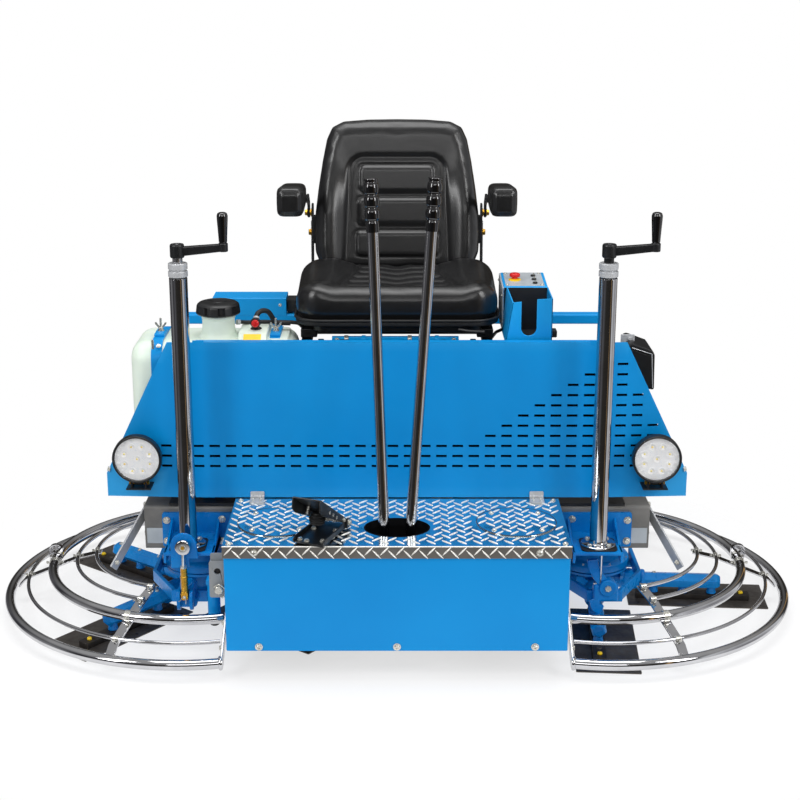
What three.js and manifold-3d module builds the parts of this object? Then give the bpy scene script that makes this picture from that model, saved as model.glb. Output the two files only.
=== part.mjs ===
// Ride-on twin-rotor power trowel.
// Millimetres. +X is the machine's width, -Y is the end with the step box, +Z is up.
// The origin is on the floor, midway between the two rotor centres.
import * as THREE from "three";
import { mergeVertices } from "three/addons/utils/BufferGeometryUtils.js";
import Module from "manifold-3d";

const wasm = await Module();
wasm.setup();

// ---------------------------------------------------------------- driving dimensions
const GAP = 0.3; // between pieces that touch
const ROTOR_X = 505.5; // from the middle of the machine to each rotor's axis
const RING_R = 485.5; // centre line of the outer guard ring
const TUBE_R = 12.5; // guard tube's radius
const ARM_Z = 50; // height of the trowel arms' axes
const ARM_R = 328; // reach of a trowel arm
const BLADE = { inner: 92, outer: 447, leading: 94, trailing: 58, thick: 3 };
const ARM_PHASE = { left: 52, right: -4 }; // degrees, first arm of each rotor
const ARMS = 4;
const BEAM = { x: 622, y0: 60, y1: 150, z0: 190, z1: 303, wall: 6 };
const TRUNNION_Z = 245; // gearbox tilt axis
const SHAFT_Z = 175; // drive shaft axis
const BOX = { x: 390, y0: -487, y1: -180, z0: 76.5, z1: 329, wall: 4 };
const DECK_Z = 334; // top of the step
const POST = { left: -500, right: 483, y: -250, r: 21, z0: 240.3, z1: 902 };
const CHANNEL = { inner: 65, outer: 55, web: 6 };
const CRANK_REACH = 105;
const LEVER_PIVOT = { y: -392, z: 150 };
const HOOD = { y: -177, thick: 3, z0: 336, z1: 724, bend: 500, foot: 705, shoulder: 545, step: 395 };
const WING_ANGLE = THREE.MathUtils.degToRad(3);
const TRAY_TOP = 311.3;
const RAIL = { x: 565, y0: 250, y1: 286, z0: 666, z1: 692 };
const LAMP = { x: 620, y: -205, z: 449, r: 59 };
const SEAT = { half: 251.5, y0: -100, y1: 205, z0: 748, z1: 834 };

// ---------------------------------------------------------------- solids
// A closed geometry as a manifold-3d solid, turned outwards if its profile ran the other way.
function solid(geometry) {
  const bare = geometry.clone();
  bare.deleteAttribute("normal");
  bare.deleteAttribute("uv");
  const merged = mergeVertices(bare, 1e-3);
  const build = (triVerts) =>
    new wasm.Manifold(
      new wasm.Mesh({ numProp: 3, vertProperties: merged.attributes.position.array, triVerts }),
    );
  const triVerts = new Uint32Array(merged.index.array);
  const made = build(triVerts);
  return made.volume() < 0 ? build(triVerts.reverse()) : made;
}

const join = (...solids) => solids.reduce((sum, next) => sum.add(next));
const cut = (body, ...tools) => tools.reduce((rest, tool) => rest.subtract(tool), body);

function box(x0, x1, y0, y1, z0, z1) {
  const geometry = new THREE.BoxGeometry(Math.abs(x1 - x0), Math.abs(y1 - y0), Math.abs(z1 - z0));
  return solid(geometry.translate((x0 + x1) / 2, (y0 + y1) / 2, (z0 + z1) / 2));
}

// A straight round or polygonal bar between two points.
function bar(from, to, radius, sides = 12, endRadius = radius) {
  const a = new THREE.Vector3(...from);
  const b = new THREE.Vector3(...to);
  const geometry = new THREE.CylinderGeometry(endRadius, radius, a.distanceTo(b), sides);
  const turn = new THREE.Quaternion().setFromUnitVectors(
    new THREE.Vector3(0, 1, 0),
    b.clone().sub(a).normalize(),
  );
  geometry.applyQuaternion(turn);
  const middle = a.add(b).multiplyScalar(0.5);
  return solid(geometry.translate(middle.x, middle.y, middle.z));
}

// A turned body: [radius, height] points from one end of the axis to the other.
function turned(profile, centre, sides = 16) {
  const geometry = new THREE.LatheGeometry(profile.map(toPoint), sides);
  return solid(geometry.rotateX(Math.PI / 2).translate(...centre));
}

// The same, turned about a line that starts at a point and runs along a direction.
function turnedAlong(profile, start, direction, sides) {
  const geometry = new THREE.LatheGeometry(profile.map(toPoint), sides);
  const up = new THREE.Vector3(0, 1, 0);
  geometry.applyQuaternion(new THREE.Quaternion().setFromUnitVectors(up, direction));
  return solid(geometry.translate(start.x, start.y, start.z));
}

// A flat outline extruded along an axis: "x" takes [y, z] points, "y" takes [x, z], "z" takes [x, y].
function slab(outline, from, to, axis, holes = [], curveSegments = 3) {
  const shape = outline instanceof THREE.Shape ? outline : new THREE.Shape(outline.map(toPoint));
  shape.holes.push(...holes);
  const geometry = new THREE.ExtrudeGeometry(shape, {
    depth: Math.abs(to - from),
    bevelEnabled: false,
    curveSegments,
  });
  return solid(stand(geometry, axis, Math.min(from, to), Math.abs(to - from)));
}

function toPoint([u, v]) {
  return new THREE.Vector2(u, v);
}

// Turns an extrusion made along +Z so that it runs along the wanted axis from a start value.
function stand(geometry, axis, start, depth) {
  if (axis === "x") {
    geometry.applyMatrix4(new THREE.Matrix4().set(0, 0, 1, start, 1, 0, 0, 0, 0, 1, 0, 0, 0, 0, 0, 1));
  } else if (axis === "y") {
    geometry.applyMatrix4(
      new THREE.Matrix4().set(1, 0, 0, 0, 0, 0, -1, start + depth, 0, 1, 0, 0, 0, 0, 0, 1),
    );
  } else {
    geometry.translate(0, 0, start);
  }
  return geometry;
}

function disc(centre, radius, from, to, axis, sides = 20) {
  const ends = { x: 0, y: 1, z: 2 }[axis];
  const a = [...centre];
  const b = [...centre];
  a[ends] = from;
  b[ends] = to;
  return bar(a, b, radius, sides);
}

function roundedRect(u0, u1, v0, v1, r) {
  const shape = new THREE.Shape();
  shape.moveTo(u0 + r, v0);
  shape.lineTo(u1 - r, v0);
  shape.absarc(u1 - r, v0 + r, r, -Math.PI / 2, 0);
  shape.lineTo(u1, v1 - r);
  shape.absarc(u1 - r, v1 - r, r, 0, Math.PI / 2);
  shape.lineTo(u0 + r, v1);
  shape.absarc(u0 + r, v1 - r, r, Math.PI / 2, Math.PI);
  shape.lineTo(u0, v0 + r);
  shape.absarc(u0 + r, v0 + r, r, Math.PI, Math.PI * 1.5);
  return shape;
}

// A rounded block: a rounded outline with bevelled ends, standing along an axis.
function pad(shape, from, to, axis, bevel, curveSegments = 4, bevelSegments = 2) {
  const geometry = new THREE.ExtrudeGeometry(shape, {
    depth: to - from - 2 * bevel,
    bevelThickness: bevel,
    bevelSize: bevel,
    bevelOffset: -bevel,
    bevelSegments,
    curveSegments,
  });
  geometry.translate(0, 0, bevel);
  return solid(stand(geometry, axis, from, to - from));
}

// An arc about a rotor's axis; a is in degrees, 0 pointing away from the middle of the machine.
class RingArc extends THREE.Curve {
  constructor(side, radius, z, a0, a1) {
    super();
    Object.assign(this, { side, radius, z, a0, a1 });
  }
  getPoint(t) {
    return new THREE.Vector3(...ringPoint(this.side, this.radius, this.a0 + (this.a1 - this.a0) * t, this.z));
  }
}

function ringPoint(side, radius, degrees, z) {
  const a = THREE.MathUtils.degToRad(degrees);
  return [side * (ROTOR_X + radius * Math.cos(a)), radius * Math.sin(a), z];
}

function ringTube(side, radius, z, tubeRadius, a0, a1, steps, sides) {
  const section = new THREE.Shape(
    new THREE.EllipseCurve(0, 0, tubeRadius, tubeRadius).getPoints(sides).slice(0, sides),
  );
  return solid(
    new THREE.ExtrudeGeometry(section, {
      steps,
      extrudePath: new RingArc(side, radius, z, a0, a1),
    }),
  );
}

function geometryOf(made) {
  const mesh = made.getMesh();
  const geometry = new THREE.BufferGeometry();
  const positions = new Float32Array(mesh.numVert * 3);
  for (let i = 0; i < mesh.numVert; i++) {
    const start = i * mesh.numProp;
    positions.set(mesh.vertProperties.subarray(start, start + 3), i * 3);
  }
  geometry.setAttribute("position", new THREE.BufferAttribute(positions, 3));
  geometry.setIndex(new THREE.BufferAttribute(new Uint32Array(mesh.triVerts), 1));
  geometry.computeVertexNormals();
  return geometry;
}

// ---------------------------------------------------------------- materials
function material(color, roughness, metalness) {
  return new THREE.MeshStandardMaterial({ color, roughness, metalness });
}

const bluePaint = material(0x1e88cd, 0.35, 0.1);
const greyPaint = material(0x77787a, 0.5, 0.3);
const blackPaint = material(0x18191b, 0.5, 0.2);
const chrome = material(0xd8dade, 0.12, 1);
const bladeSteel = material(0x2f2e30, 0.45, 0.8);
const treadPlate = material(0x3a92cc, 0.3, 0.6);
const whitePlastic = material(0xe4ead9, 0.5, 0);
const blackPlastic = material(0x1a1b1c, 0.5, 0);
const redPlastic = material(0xc92420, 0.4, 0);
const vinyl = material(0x141415, 0.45, 0);
const lampGlass = material(0xcfd6dc, 0.15, 0.2);

const trowel = new THREE.Group();

function add(name, made, surface, parent = trowel) {
  const mesh = new THREE.Mesh(geometryOf(made), surface);
  mesh.name = name;
  parent.add(mesh);
}

// ---------------------------------------------------------------- frame
// A box-section beam across the machine, open at its ends, with a bush hole in its inner wall
// over each rotor for the gearbox trunnion.
function beam(front) {
  const sign = front ? -1 : 1;
  const { x, y0, y1, z0, z1, wall } = BEAM;
  const holes = [-1, 1].map((side) =>
    disc([side * ROTOR_X, 0, TRUNNION_Z], 12.8, sign * (y0 - 2), sign * (y0 + wall + 2), "y", 12),
  );
  return cut(
    box(-x, x, sign * y0, sign * y1, z0, z1 + (front ? 0 : GAP)),
    box(-x - 1, x + 1, sign * (y0 + wall), sign * (y1 - wall), z0 + wall, z1 - wall),
    ...holes,
  );
}

// The grey strap that hangs the inner guard rod from the end of the front beam.
function hangerStrap(side) {
  const top = [side * 619, -98, 285];
  const foot = [side * 699, -182, 152];
  return join(
    bar(top, foot, 11, 4),
    box(side * 606, side * BEAM.x, -112, -80, 272, 298),
  );
}

function frontBeam() {
  return join(beam(true), hangerStrap(-1), hangerStrap(1));
}

// The rear beam with the engine tray, two rails back to the rear plate, and the shaft's bearings.
function rearFrame() {
  const pieces = [beam(false), box(-560, 560, -BEAM.y1, BEAM.y1, BEAM.z1 + GAP, TRAY_TOP)];
  for (const side of [-1, 1]) {
    pieces.push(box(side * 295, side * 345, BEAM.y1 - 1, 436, 230, 290));
    pieces.push(box(side * 286, side * 314, -24, BEAM.y0 + 1, 148, 204));
  }
  pieces.push(box(-345, 345, 434, 442, 62, 290));
  pieces.push(box(-256, 256, 434, 442, 30, 63));
  const bore = disc([0, 0, SHAFT_Z], 15, -330, 330, "x", 16);
  return cut(join(...pieces), bore);
}

// ---------------------------------------------------------------- rotors
// Local frame of a rotor part: X runs out along the arm, Z is up, on the rotor's axis.
// The two rotors are mirror images: the left one's trailing edges face +Y, the right one's -Y.
const SHANK = { r: 13.5, bore: 14.8, from: 50, to: 126 };
const SOCKET = { r: 24, from: 30, to: 120, slot0: 67, slot1: 83 };

function spider(side) {
  const hub = turned(
    [[0, 25], [62, 25], [62, 32], [48, 38], [48, 72], [34, 80], [18, 80], [18, 96.5], [0, 96.5]],
    [0, 0, 0],
    16,
  );
  const spin = new THREE.Matrix4();
  let made = hub;
  const bores = [];
  for (let i = 0; i < ARMS; i++) {
    spin.makeRotationZ((i * 2 * Math.PI) / ARMS);
    const turn = [...spin.elements];
    const socket = bar([SOCKET.from, 0, ARM_Z], [SOCKET.to, 0, ARM_Z], SOCKET.r, 8);
    made = made.add(socket.transform(turn));
    bores.push(
      bar([SHANK.from - 2, 0, ARM_Z], [SOCKET.to + 2, 0, ARM_Z], SHANK.bore, 8).transform(turn),
      box(SOCKET.slot0, SOCKET.slot1, side * 26, -side * 60, 40, 90).transform(turn),
    );
  }
  return cut(made, ...bores);
}

// The arm: a round shank in the hub's socket with its pitch finger, then a hexagonal bar with
// three bosses down to the blade's stiffener.
const BOSSES = [160, 235, 308];
const STIFFENER = { from: 115, to: 405, half: 16, top: 18 };

function trowelArm(side) {
  const finger = slab(
    [[0, 40], [16, 48], [44, 74], [44, 86], [28, 86], [0, 60]].map(([y, z]) => [-side * y, z]),
    SOCKET.slot0 + 3,
    SOCKET.slot1 - 3,
    "x",
  );
  const pieces = [
    bar([SHANK.from, 0, ARM_Z], [SHANK.to, 0, ARM_Z], SHANK.r, 8),
    bar([SHANK.to - 2, 0, ARM_Z], [ARM_R, 0, ARM_Z], 19.6, 6),
    finger,
  ];
  for (const r of BOSSES) pieces.push(disc([r, 0, 0], 11, STIFFENER.top + GAP, ARM_Z - 10, "z", 6));
  return join(...pieces);
}

function blade(side) {
  const { inner, outer, leading, trailing, thick } = BLADE;
  return join(
    box(inner, outer, side * leading, -side * trailing, 0, thick),
    box(STIFFENER.from, STIFFENER.to, -STIFFENER.half, STIFFENER.half, thick - 1, STIFFENER.top),
    disc([STIFFENER.to - 22, 0, 0], 7, STIFFENER.top - 1, STIFFENER.top + 9, "z", 6),
  );
}

// The worm gearbox that hangs between the beams and drives one rotor.
function gearbox(side) {
  const x = side * ROTOR_X;
  const housing = turned(
    [[0, 150], [22, 150], [22, 97], [93, 97], [93, 120], [80, 124], [80, 168], [52, 188], [0, 188]],
    [x, 0, 0],
    16,
  );
  return join(
    housing,
    bar([x - side * 60, 0, SHAFT_Z], [x - side * 104, 0, SHAFT_Z], 28, 12),
    box(x - 24, x + 24, -46, 46, 185, 266),
    disc([x, 0, TRUNNION_Z], 12, -BEAM.y0 - 5, BEAM.y0 + 5, "y", 12),
  );
}

// The pitch yoke: a ring over the arms' fingers, two cheeks beside the gearbox and a block below
// the post, all pulled down together by the crank.
function pitchYoke(side) {
  const x = side * ROTOR_X;
  const front = side < 0 ? -322 : -262;
  const ring = turned([[58, 88], [90, 88], [90, 95], [58, 95], [58, 88]], [x, 0, 0], 16);
  const pieces = [ring];
  for (const end of [-1, 1]) {
    pieces.push(box(x + end * 86, x + end * 106, -24, 24, 88, 95));
    pieces.push(box(x + end * 98, x + end * 108, -112, 40, 88, 118));
    pieces.push(
      slab([[x + end * 98, -110], [x + end * 108, -112], [x + end * 42, -236], [x + end * 32, -232]], 88, 118, "z"),
    );
  }
  pieces.push(box(x - 44, x + 44, -240, -228, 88, 118));
  pieces.push(box(x - 30, x + 30, front, -230, 96, 142));
  return side < 0 ? join(...pieces, ...turnbuckle(x)) : join(...pieces, ...pullRod(x));
}

// Left side: clevis, turnbuckle, rod end and the round lug in front of the post.
function turnbuckle(x) {
  return [
    bar([x, -314, 135], [x, -314, 170], 9, 6),
    bar([x, -314, 168], [x, -314, 216], 8, 8),
    bar([x, -314, 214], [x, -314, 246], 5, 8),
    disc([x, 0, 260], 16, -322, -314, "y", 16),
    disc([x, 0, 260], 31, -314.5, -305, "y", 20),
    box(x - 31, x + 31, -314, -305, 232, 260),
  ];
}

// Right side: a thin rod from the yoke's fork up to the bracket.
function pullRod(x) {
  return [
    bar([x - 5, -250, 140], [x - 5, -250, 229], 3, 8),
    box(x - 26, x - 14, -262, -238, 140, 182),
    box(x + 4, x + 16, -262, -238, 140, 182),
  ];
}

// A straight shaft between the two gearboxes with a flexible coupling at each end and the pulley.
function driveShaft() {
  const pieces = [disc([0, 0, SHAFT_Z], 14, -384, 384, "x", 16)];
  for (const side of [-1, 1]) pieces.push(disc([0, 0, SHAFT_Z], 30, side * 376, side * 396, "x", 16));
  pieces.push(disc([0, 0, SHAFT_Z], 55, -196, -168, "x", 24));
  return join(...pieces);
}

// ---------------------------------------------------------------- guards
const FRONT_BAR_X = 403;
const REAR_END = 120;

// Angle at which a ring of this radius meets a plane of constant X beside the step box.
const angleAt = (radius, x) => -THREE.MathUtils.radToDeg(Math.acos((x - ROTOR_X) / radius));

function guardRing(side) {
  const tube = ringTube(side, RING_R, 40, TUBE_R, angleAt(RING_R, FRONT_BAR_X), REAR_END, 24, 8);
  const bracket = slab(
    [[-487, 28], [-462, 28], [-348, 92], [-348, 116], [-362, 116], [-487, 50]],
    side * (FRONT_BAR_X - 3),
    side * (FRONT_BAR_X + 3),
    "x",
  );
  return join(tube, bracket);
}

// Rings of the cage above the rotor: [radius, height, tube radius].
const UPPER = [375, 102, TUBE_R];
const RODS = [[438, 72, 4.75], [314, 121, 4.75], [265, 134, 4.75]];
const STRAPS = [-70, -4, 62, REAR_END - 1.6];
const STRAP_TOP = [[468, 44], [452, 62], [438, 69.5], [375, 94], [314, 118.5], [254, 131.5]];

// A flat strap in the vertical plane through the rotor's axis that carries the rods.
function radialStrap(side, degrees) {
  const lower = [...STRAP_TOP].reverse().map(([r, z]) => [r, z - 4]);
  const strap = slab([...STRAP_TOP, ...lower], -12, 12, "y");
  const a = THREE.MathUtils.degToRad(degrees);
  const turn = new THREE.Matrix4().makeRotationZ(side > 0 ? a : Math.PI - a);
  return strap.transform([...turn.setPosition(side * ROTOR_X, 0, 0).elements]);
}

function guardCage(side) {
  const [upperR, upperZ, upperTube] = UPPER;
  const clear = FRONT_BAR_X + 7.6;
  const pieces = [ringTube(side, upperR, upperZ, upperTube, angleAt(upperR, clear), REAR_END, 16, 8)];
  for (const [radius, z, tube] of RODS) {
    const start = radius > upperR ? angleAt(radius, clear) : STRAPS[0] - 1;
    pieces.push(ringTube(side, radius, z, tube, start, REAR_END, 14, 5));
  }
  for (const degrees of STRAPS) pieces.push(radialStrap(side, degrees));
  pieces.push(liftingEye(side));
  return join(...pieces);
}

function liftingEye(side) {
  const x = side * 880.5;
  const outline = [[x - 18, 116], [x + 18, 116], [x + 18, 130], [x + 11, 144], [x - 11, 144], [x - 18, 130]];
  const plate = join(slab(outline, -6, 6, "y"), box(x - 18, x + 18, -5, 5, 106, 117));
  return cut(plate, disc([x, 0, 129], 8, -8, 8, "y", 12));
}

// ---------------------------------------------------------------- posts and cranks
const postX = (side) => (side < 0 ? POST.left : POST.right);

function postBracket(side) {
  const at = (x) => side * x;
  const flat = (x0, x1, y0, y1, z0, z1) => box(at(x0), at(x1), y0, y1, z0, z1);
  const plate = flat(385, 577, -160, -BEAM.y1 - GAP, 200, 289);
  const gusset = (x) =>
    slab([[-159, 206], [-159, 240], [-296, 240], [-296, 212]], at(x), at(x + CHANNEL.web), "x");
  const bolts = [[566, 270], [430, 273], [566, 216], [430, 216]].map(([x, z]) =>
    disc([at(x), 0, z], 9, -168, -159, "y", 6),
  );
  const near = Math.abs(postX(side)) - CHANNEL.inner;
  const far = Math.abs(postX(side)) + CHANNEL.outer;
  const made = join(
    plate,
    flat(near, far, -298, -159, 232, 240),
    gusset(near),
    gusset(far - CHANNEL.web),
    ...bolts,
  );
  return cut(made, disc([postX(side), POST.y, 0], 12, 225, 245, "z", 12));
}

function post(side) {
  const { y, r, z0, z1 } = POST;
  return turned(
    [[0, z0], [42, z0], [42, 248], [r, 248], [r, z1], [22, z1], [22, 912.6], [19, 914], [21.5, 915.7],
      [21.5, 930], [0, 930]],
    [postX(side), y, 0],
    16,
  );
}

function crank(side) {
  const x = postX(side);
  const { y } = POST;
  const arm = slab(
    [[x + 6, 946], [x + CRANK_REACH, 958], [x + CRANK_REACH, 975], [x + 6, 966]],
    y - 8,
    y + 8,
    "y",
  );
  return join(
    turned([[0, 930.4], [12, 930.4], [12, 941], [16, 941], [16, 973.5], [0, 973.5]], [x, y, 0], 16),
    arm,
    disc([x + CRANK_REACH, y, 0], 11, 957, 976, "z", 12),
  );
}

function crankKnob(side) {
  return turned(
    [[0, 976.4], [10, 976.4], [12, 1030], [11, 1043], [7, 1046], [0, 1046]],
    [postX(side) + CRANK_REACH, POST.y, 0],
    14,
  );
}

// ---------------------------------------------------------------- step box and deck
function stepBox() {
  const { x, y0, y1, z0, z1, wall } = BOX;
  const shell = cut(
    box(-x, x, y0, y1, z0, z1),
    box(-x + wall, x - wall, y0 + wall, y1 - wall, z0 - 1, z1 + 1),
  );
  const pieces = [
    shell,
    disc([0, LEVER_PIVOT.y, LEVER_PIVOT.z], 10, -x + 1, x - 1, "x", 12),
    box(-426, -x + 1, -462, -458, 198, 303),
    box(-426, -422, -461, -436, 198, 303),
    box(-450, -x + 1, -344, -316, 176, 190),
    disc([-434, -330, 0], 15, 96, 180, "z", 10),
    disc([-434, 0, 84], 15.5, -338, -322, "y", 14),
  ];
  for (const bolt of [-315, 0, 315]) pieces.push(disc([bolt, 0, 87], 8, y0 - 4, y0 + 1, "y", 8));
  return cut(join(...pieces), disc([-410, 0, 284], 8, -465, -455, "y", 10));
}

const LEVER_HOLE = { y: -374, rx: 75, ry: 59 };
const COVER = { x: 278, y: -341, r: 94 };

function holeShape(x, y, rx, ry) {
  const hole = new THREE.Path();
  hole.absellipse(x, y, rx, ry, 0, Math.PI * 2);
  return hole;
}

function deckPlate() {
  const x = BOX.x + 2;
  const holes = [
    holeShape(0, LEVER_HOLE.y, LEVER_HOLE.rx, LEVER_HOLE.ry),
    holeShape(-COVER.x, COVER.y, COVER.r - 14, COVER.r - 14),
    holeShape(COVER.x, COVER.y, COVER.r - 14, COVER.r - 14),
  ];
  const outline = [[-x, -492], [x, -492], [x, BOX.y1], [-x, BOX.y1]];
  const pieces = [
    slab(outline, BOX.z1 + GAP, DECK_Z, "z", holes, 12),
    box(-x, x, -492, BOX.y0 - GAP, 305, DECK_Z),
  ];
  for (const side of [-1, 1]) {
    for (const y of [-475, -195]) pieces.push(disc([side * 378, y, 0], 6, DECK_Z - 1, DECK_Z + 3, "z", 8));
    pieces.push(disc([side * 320, 0, 319], 7, -495, -491, "y", 8));
    pieces.push(box(side * 309, side * 341, -214, -181, DECK_Z - 1, DECK_Z + 2.6));
    pieces.push(disc([0, -184, DECK_Z + 4], 5, side * 309, side * 341, "x", 8));
  }
  return join(...pieces);
}

function accessCover(side) {
  const centre = [side * COVER.x, COVER.y, 0];
  const pieces = [disc(centre, COVER.r, DECK_Z + GAP, DECK_Z + 3.3, "z", 32)];
  for (let i = 0; i < 4; i++) {
    const a = Math.PI / 4 + (i * Math.PI) / 2;
    const screw = [centre[0] + 78 * Math.cos(a), centre[1] + 78 * Math.sin(a), 0];
    pieces.push(disc(screw, 6, DECK_Z + 2, DECK_Z + 7, "z", 8));
  }
  return join(...pieces);
}

// ---------------------------------------------------------------- foot pedal
// Local frame: X across the pedal, -Y towards the toe, Z up from the deck; the heel hinge is at the back.
const PEDAL = { x: -172, y: -422, turn: -22, half: 38, hinge: [0, 60, 16] };

function pedalBase() {
  const { half, hinge } = PEDAL;
  const pieces = [box(-half, half, -72, 70, 4, 7), box(8, half - 2, -70, -30, GAP, 5)];
  for (const x of [-half, half + 4]) pieces.push(box(x - 4, x, 50, 70, 4, 24));
  pieces.push(disc([0, hinge[1], hinge[2]], 4, -half - 2, half + 2, "x", 8));
  return join(...pieces);
}

function pedalTreadle() {
  const { half, hinge } = PEDAL;
  const [, y, z] = hinge;
  const plate = slab(
    [[y + 9, z - 4], [y + 9, z + 6], [y, z + 9], [y - 140, z + 98], [y - 144, z + 92], [y - 6, z - 6]],
    -half + 2,
    half - 2,
    "x",
  );
  const bellows = turned([[0, 35], [17, 35], [20, 40], [17, 45], [20, 50], [17, 58], [10, 69], [0, 69]], [0, -22, 0], 12);
  return cut(join(plate, bellows), disc([0, y, z], 4.8, -half - 6, half + 6, "x", 8));
}

// ---------------------------------------------------------------- steering levers
const LEVERS = {
  left: { foot: [-30, -374, 345], top: [-58, -300, 1124] },
  right: { foot: [32, -374, 345], top: [85, -300, 1126] },
};

function lever(name) {
  const foot = new THREE.Vector3(...LEVERS[name].foot);
  const top = new THREE.Vector3(...LEVERS[name].top);
  const pivot = foot.clone().lerp(top, (LEVER_PIVOT.z - foot.z) / (top.z - foot.z));
  const direction = top.clone().sub(pivot);
  const length = direction.length();
  const profile = [[0, 0], [13, 0], [13, length - 124]];
  for (let bulge = 0; bulge < 3; bulge++) {
    const start = length - 122 + bulge * 40;
    profile.push([14, start], [16.5, start + 20]);
  }
  profile.push([14, length - 2], [0, length]);
  const hub = disc([0, LEVER_PIVOT.y, LEVER_PIVOT.z], 22, pivot.x - 17, pivot.x + 17, "x", 12);
  const bore = disc([0, LEVER_PIVOT.y, LEVER_PIVOT.z], 10.9, pivot.x - 30, pivot.x + 30, "x", 12);
  return cut(join(turnedAlong(profile, pivot, direction.normalize(), 12), hub), bore);
}

// ---------------------------------------------------------------- hood
function hoodPanel() {
  const { y, thick, z0, z1, bend, foot, shoulder, step } = HOOD;
  const centre = box(-bend, bend, y, y + thick, z0, z1);
  const wing = slab(
    [[-1, z0], [foot - bend, z0], [foot - bend, step], [shoulder - bend, z1], [-1, z1]],
    0,
    thick,
    "y",
  );
  const pieces = [centre, box(-bend + 20, bend - 20, y + 1, -150, z1 - 3, z1)];
  for (const side of [-1, 1]) {
    const turn = new THREE.Matrix4().makeRotationZ(WING_ANGLE);
    turn.setPosition(bend, y, 0);
    const placed = side > 0 ? turn : new THREE.Matrix4().makeScale(-1, 1, 1).multiply(turn);
    pieces.push(wing.transform([...placed.elements]));
    const lampX = side * LAMP.x;
    pieces.push(box(lampX - 30, lampX + 30, -222, -166, 370, 374));
    for (const end of [-1, 1]) {
      pieces.push(box(lampX + end * 15, lampX + end * 19, -220, -190, 373, 389.3));
    }
    pieces.push(box(side * 470, side * 486, y, y + thick, z1 - 1, z1 + 6));
    pieces.push(box(side * 520, side * 540, -172, -100, z0 + 6, z0 + 9));
  }
  return join(...pieces);
}

function lamp(side) {
  const { y, z, r } = LAMP;
  const x = side * LAMP.x;
  const body = new THREE.LatheGeometry(
    [[0, 22], [34, 22], [50, 8], [r, 2], [r, -22], [54, -26], [50, -20], [0, -20]].map(toPoint),
    20,
  );
  const foot = box(x - 14, x + 14, y - 5, y + 5, 384, 398);
  return join(solid(body.translate(x, y, z)), foot, disc([0, y, 384], 5, x - 14.4, x + 14.4, "x", 8));
}

// ---------------------------------------------------------------- tank
const TANK = { x0: -640, x1: -244, y0: -148, y1: 60, z0: 400, z1: 712 };
const NECK = { x: -434, y: -60, r: 40, top: 767 };

function tank() {
  const { x0, x1, y0, y1, z0, z1 } = TANK;
  const body = pad(roundedRect(y0, y1, z0, z1, 46), x0, x1, "x", 30, 3);
  const neck = disc([NECK.x, NECK.y, 0], NECK.r, z1 - 20, NECK.top, "z", 16);
  return join(body, neck);
}

function tankCap() {
  return turned(
    [[0, NECK.top + GAP], [48, NECK.top + GAP], [54, 772], [54, 790], [47, 797], [0, 798.5]],
    [NECK.x, NECK.y, 0],
    24,
  );
}

// The blue tray under the tank with two legs and the two strap bands over it.
function tankCradle() {
  const { x0, x1, y0, y1, z0, z1 } = TANK;
  const pieces = [box(x0 + 10, x1 - 6, y0, y1, z0 - 7, z0 - 0.5)];
  for (const x of [-480, -330]) {
    pieces.push(box(x, x + 30, -120, 30, TRAY_TOP + GAP, z0 - 6));
  }
  for (const x of [-588, -313]) {
    const outer = roundedRect(y0 - 5, y1 + 5, z0 - 7, z1 + 5, 50);
    outer.holes.push(roundedRect(y0 - 0.6, y1 + 0.6, z0 - 0.6, z1 + 0.6, 46));
    pieces.push(slab(outer, x, x + 26, "x"));
    pieces.push(bar([x + 13, -60, z1 + 3], [x + 13, -60, z1 + 26], 4, 6));
  }
  return join(...pieces);
}

// ---------------------------------------------------------------- upper frame, console, engine
function upperFrame() {
  const { x, y0, y1, z0, z1 } = RAIL;
  const pieces = [
    box(-x, x, y0, y1, z0, z1),
    box(-486, -292, y0, 330, z1 - 1, 737),
    disc([0, -50, 676], 14, -230, 230, "x", 12),
    disc([0, 150, 676], 14, -230, 230, "x", 12),
  ];
  for (const side of [-1, 1]) {
    pieces.push(box(side * 212, side * 236, -66, y0 + 1, 672, z1));
    pieces.push(box(side * 212, side * 236, -66, -42, TRAY_TOP + GAP, 673));
    pieces.push(box(side * 305, side * 335, y0 + 4, y1 - 4, 290 + GAP, z0 + 1));
  }
  return join(...pieces);
}

// The control console on its pillar, with the open cup holder in front of it.
const CUP = { x0: 258, x1: 370, y0: -140, y1: -20, z0: 714, z1: 822, wall: 3, slotX: 314, slotZ: 750, slotR: 20 };
const BUTTON = { x: 292, y: 40, deskZ: 829 };

function controlConsole() {
  const { x0, x1, y0, y1, z0, z1, wall, slotX, slotZ, slotR } = CUP;
  const holder = cut(
    box(x0, x1, y0, y1, z0, z1),
    box(x0 + wall, x1 - wall, y0 + wall, y1 - wall, z0 + wall, z1 + 1),
    box(slotX - slotR, slotX + slotR, y0 - 1, y0 + wall + 1, slotZ, z1 + 1),
    disc([slotX, 0, slotZ], slotR, y0 - 1, y0 + wall + 1, "y", 16),
  );
  const desk = slab([[-21, z0], [116, z0], [116, 834], [-21, 824]], x0, x1, "x");
  const pillar = box(285, 345, 22, 82, TRAY_TOP + GAP, 715);
  return cut(join(holder, desk, pillar), disc([BUTTON.x, BUTTON.y, 0], 8.5, BUTTON.deskZ - 23, BUTTON.deskZ + 19, "z", 12));
}

function stopButton() {
  const profile = [[0, -14], [7.5, -14], [7.5, 8], [13, 9], [13, 15], [8, 19], [0, 19]];
  return turned(profile, [BUTTON.x, BUTTON.y, BUTTON.deskZ], 14);
}

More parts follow.
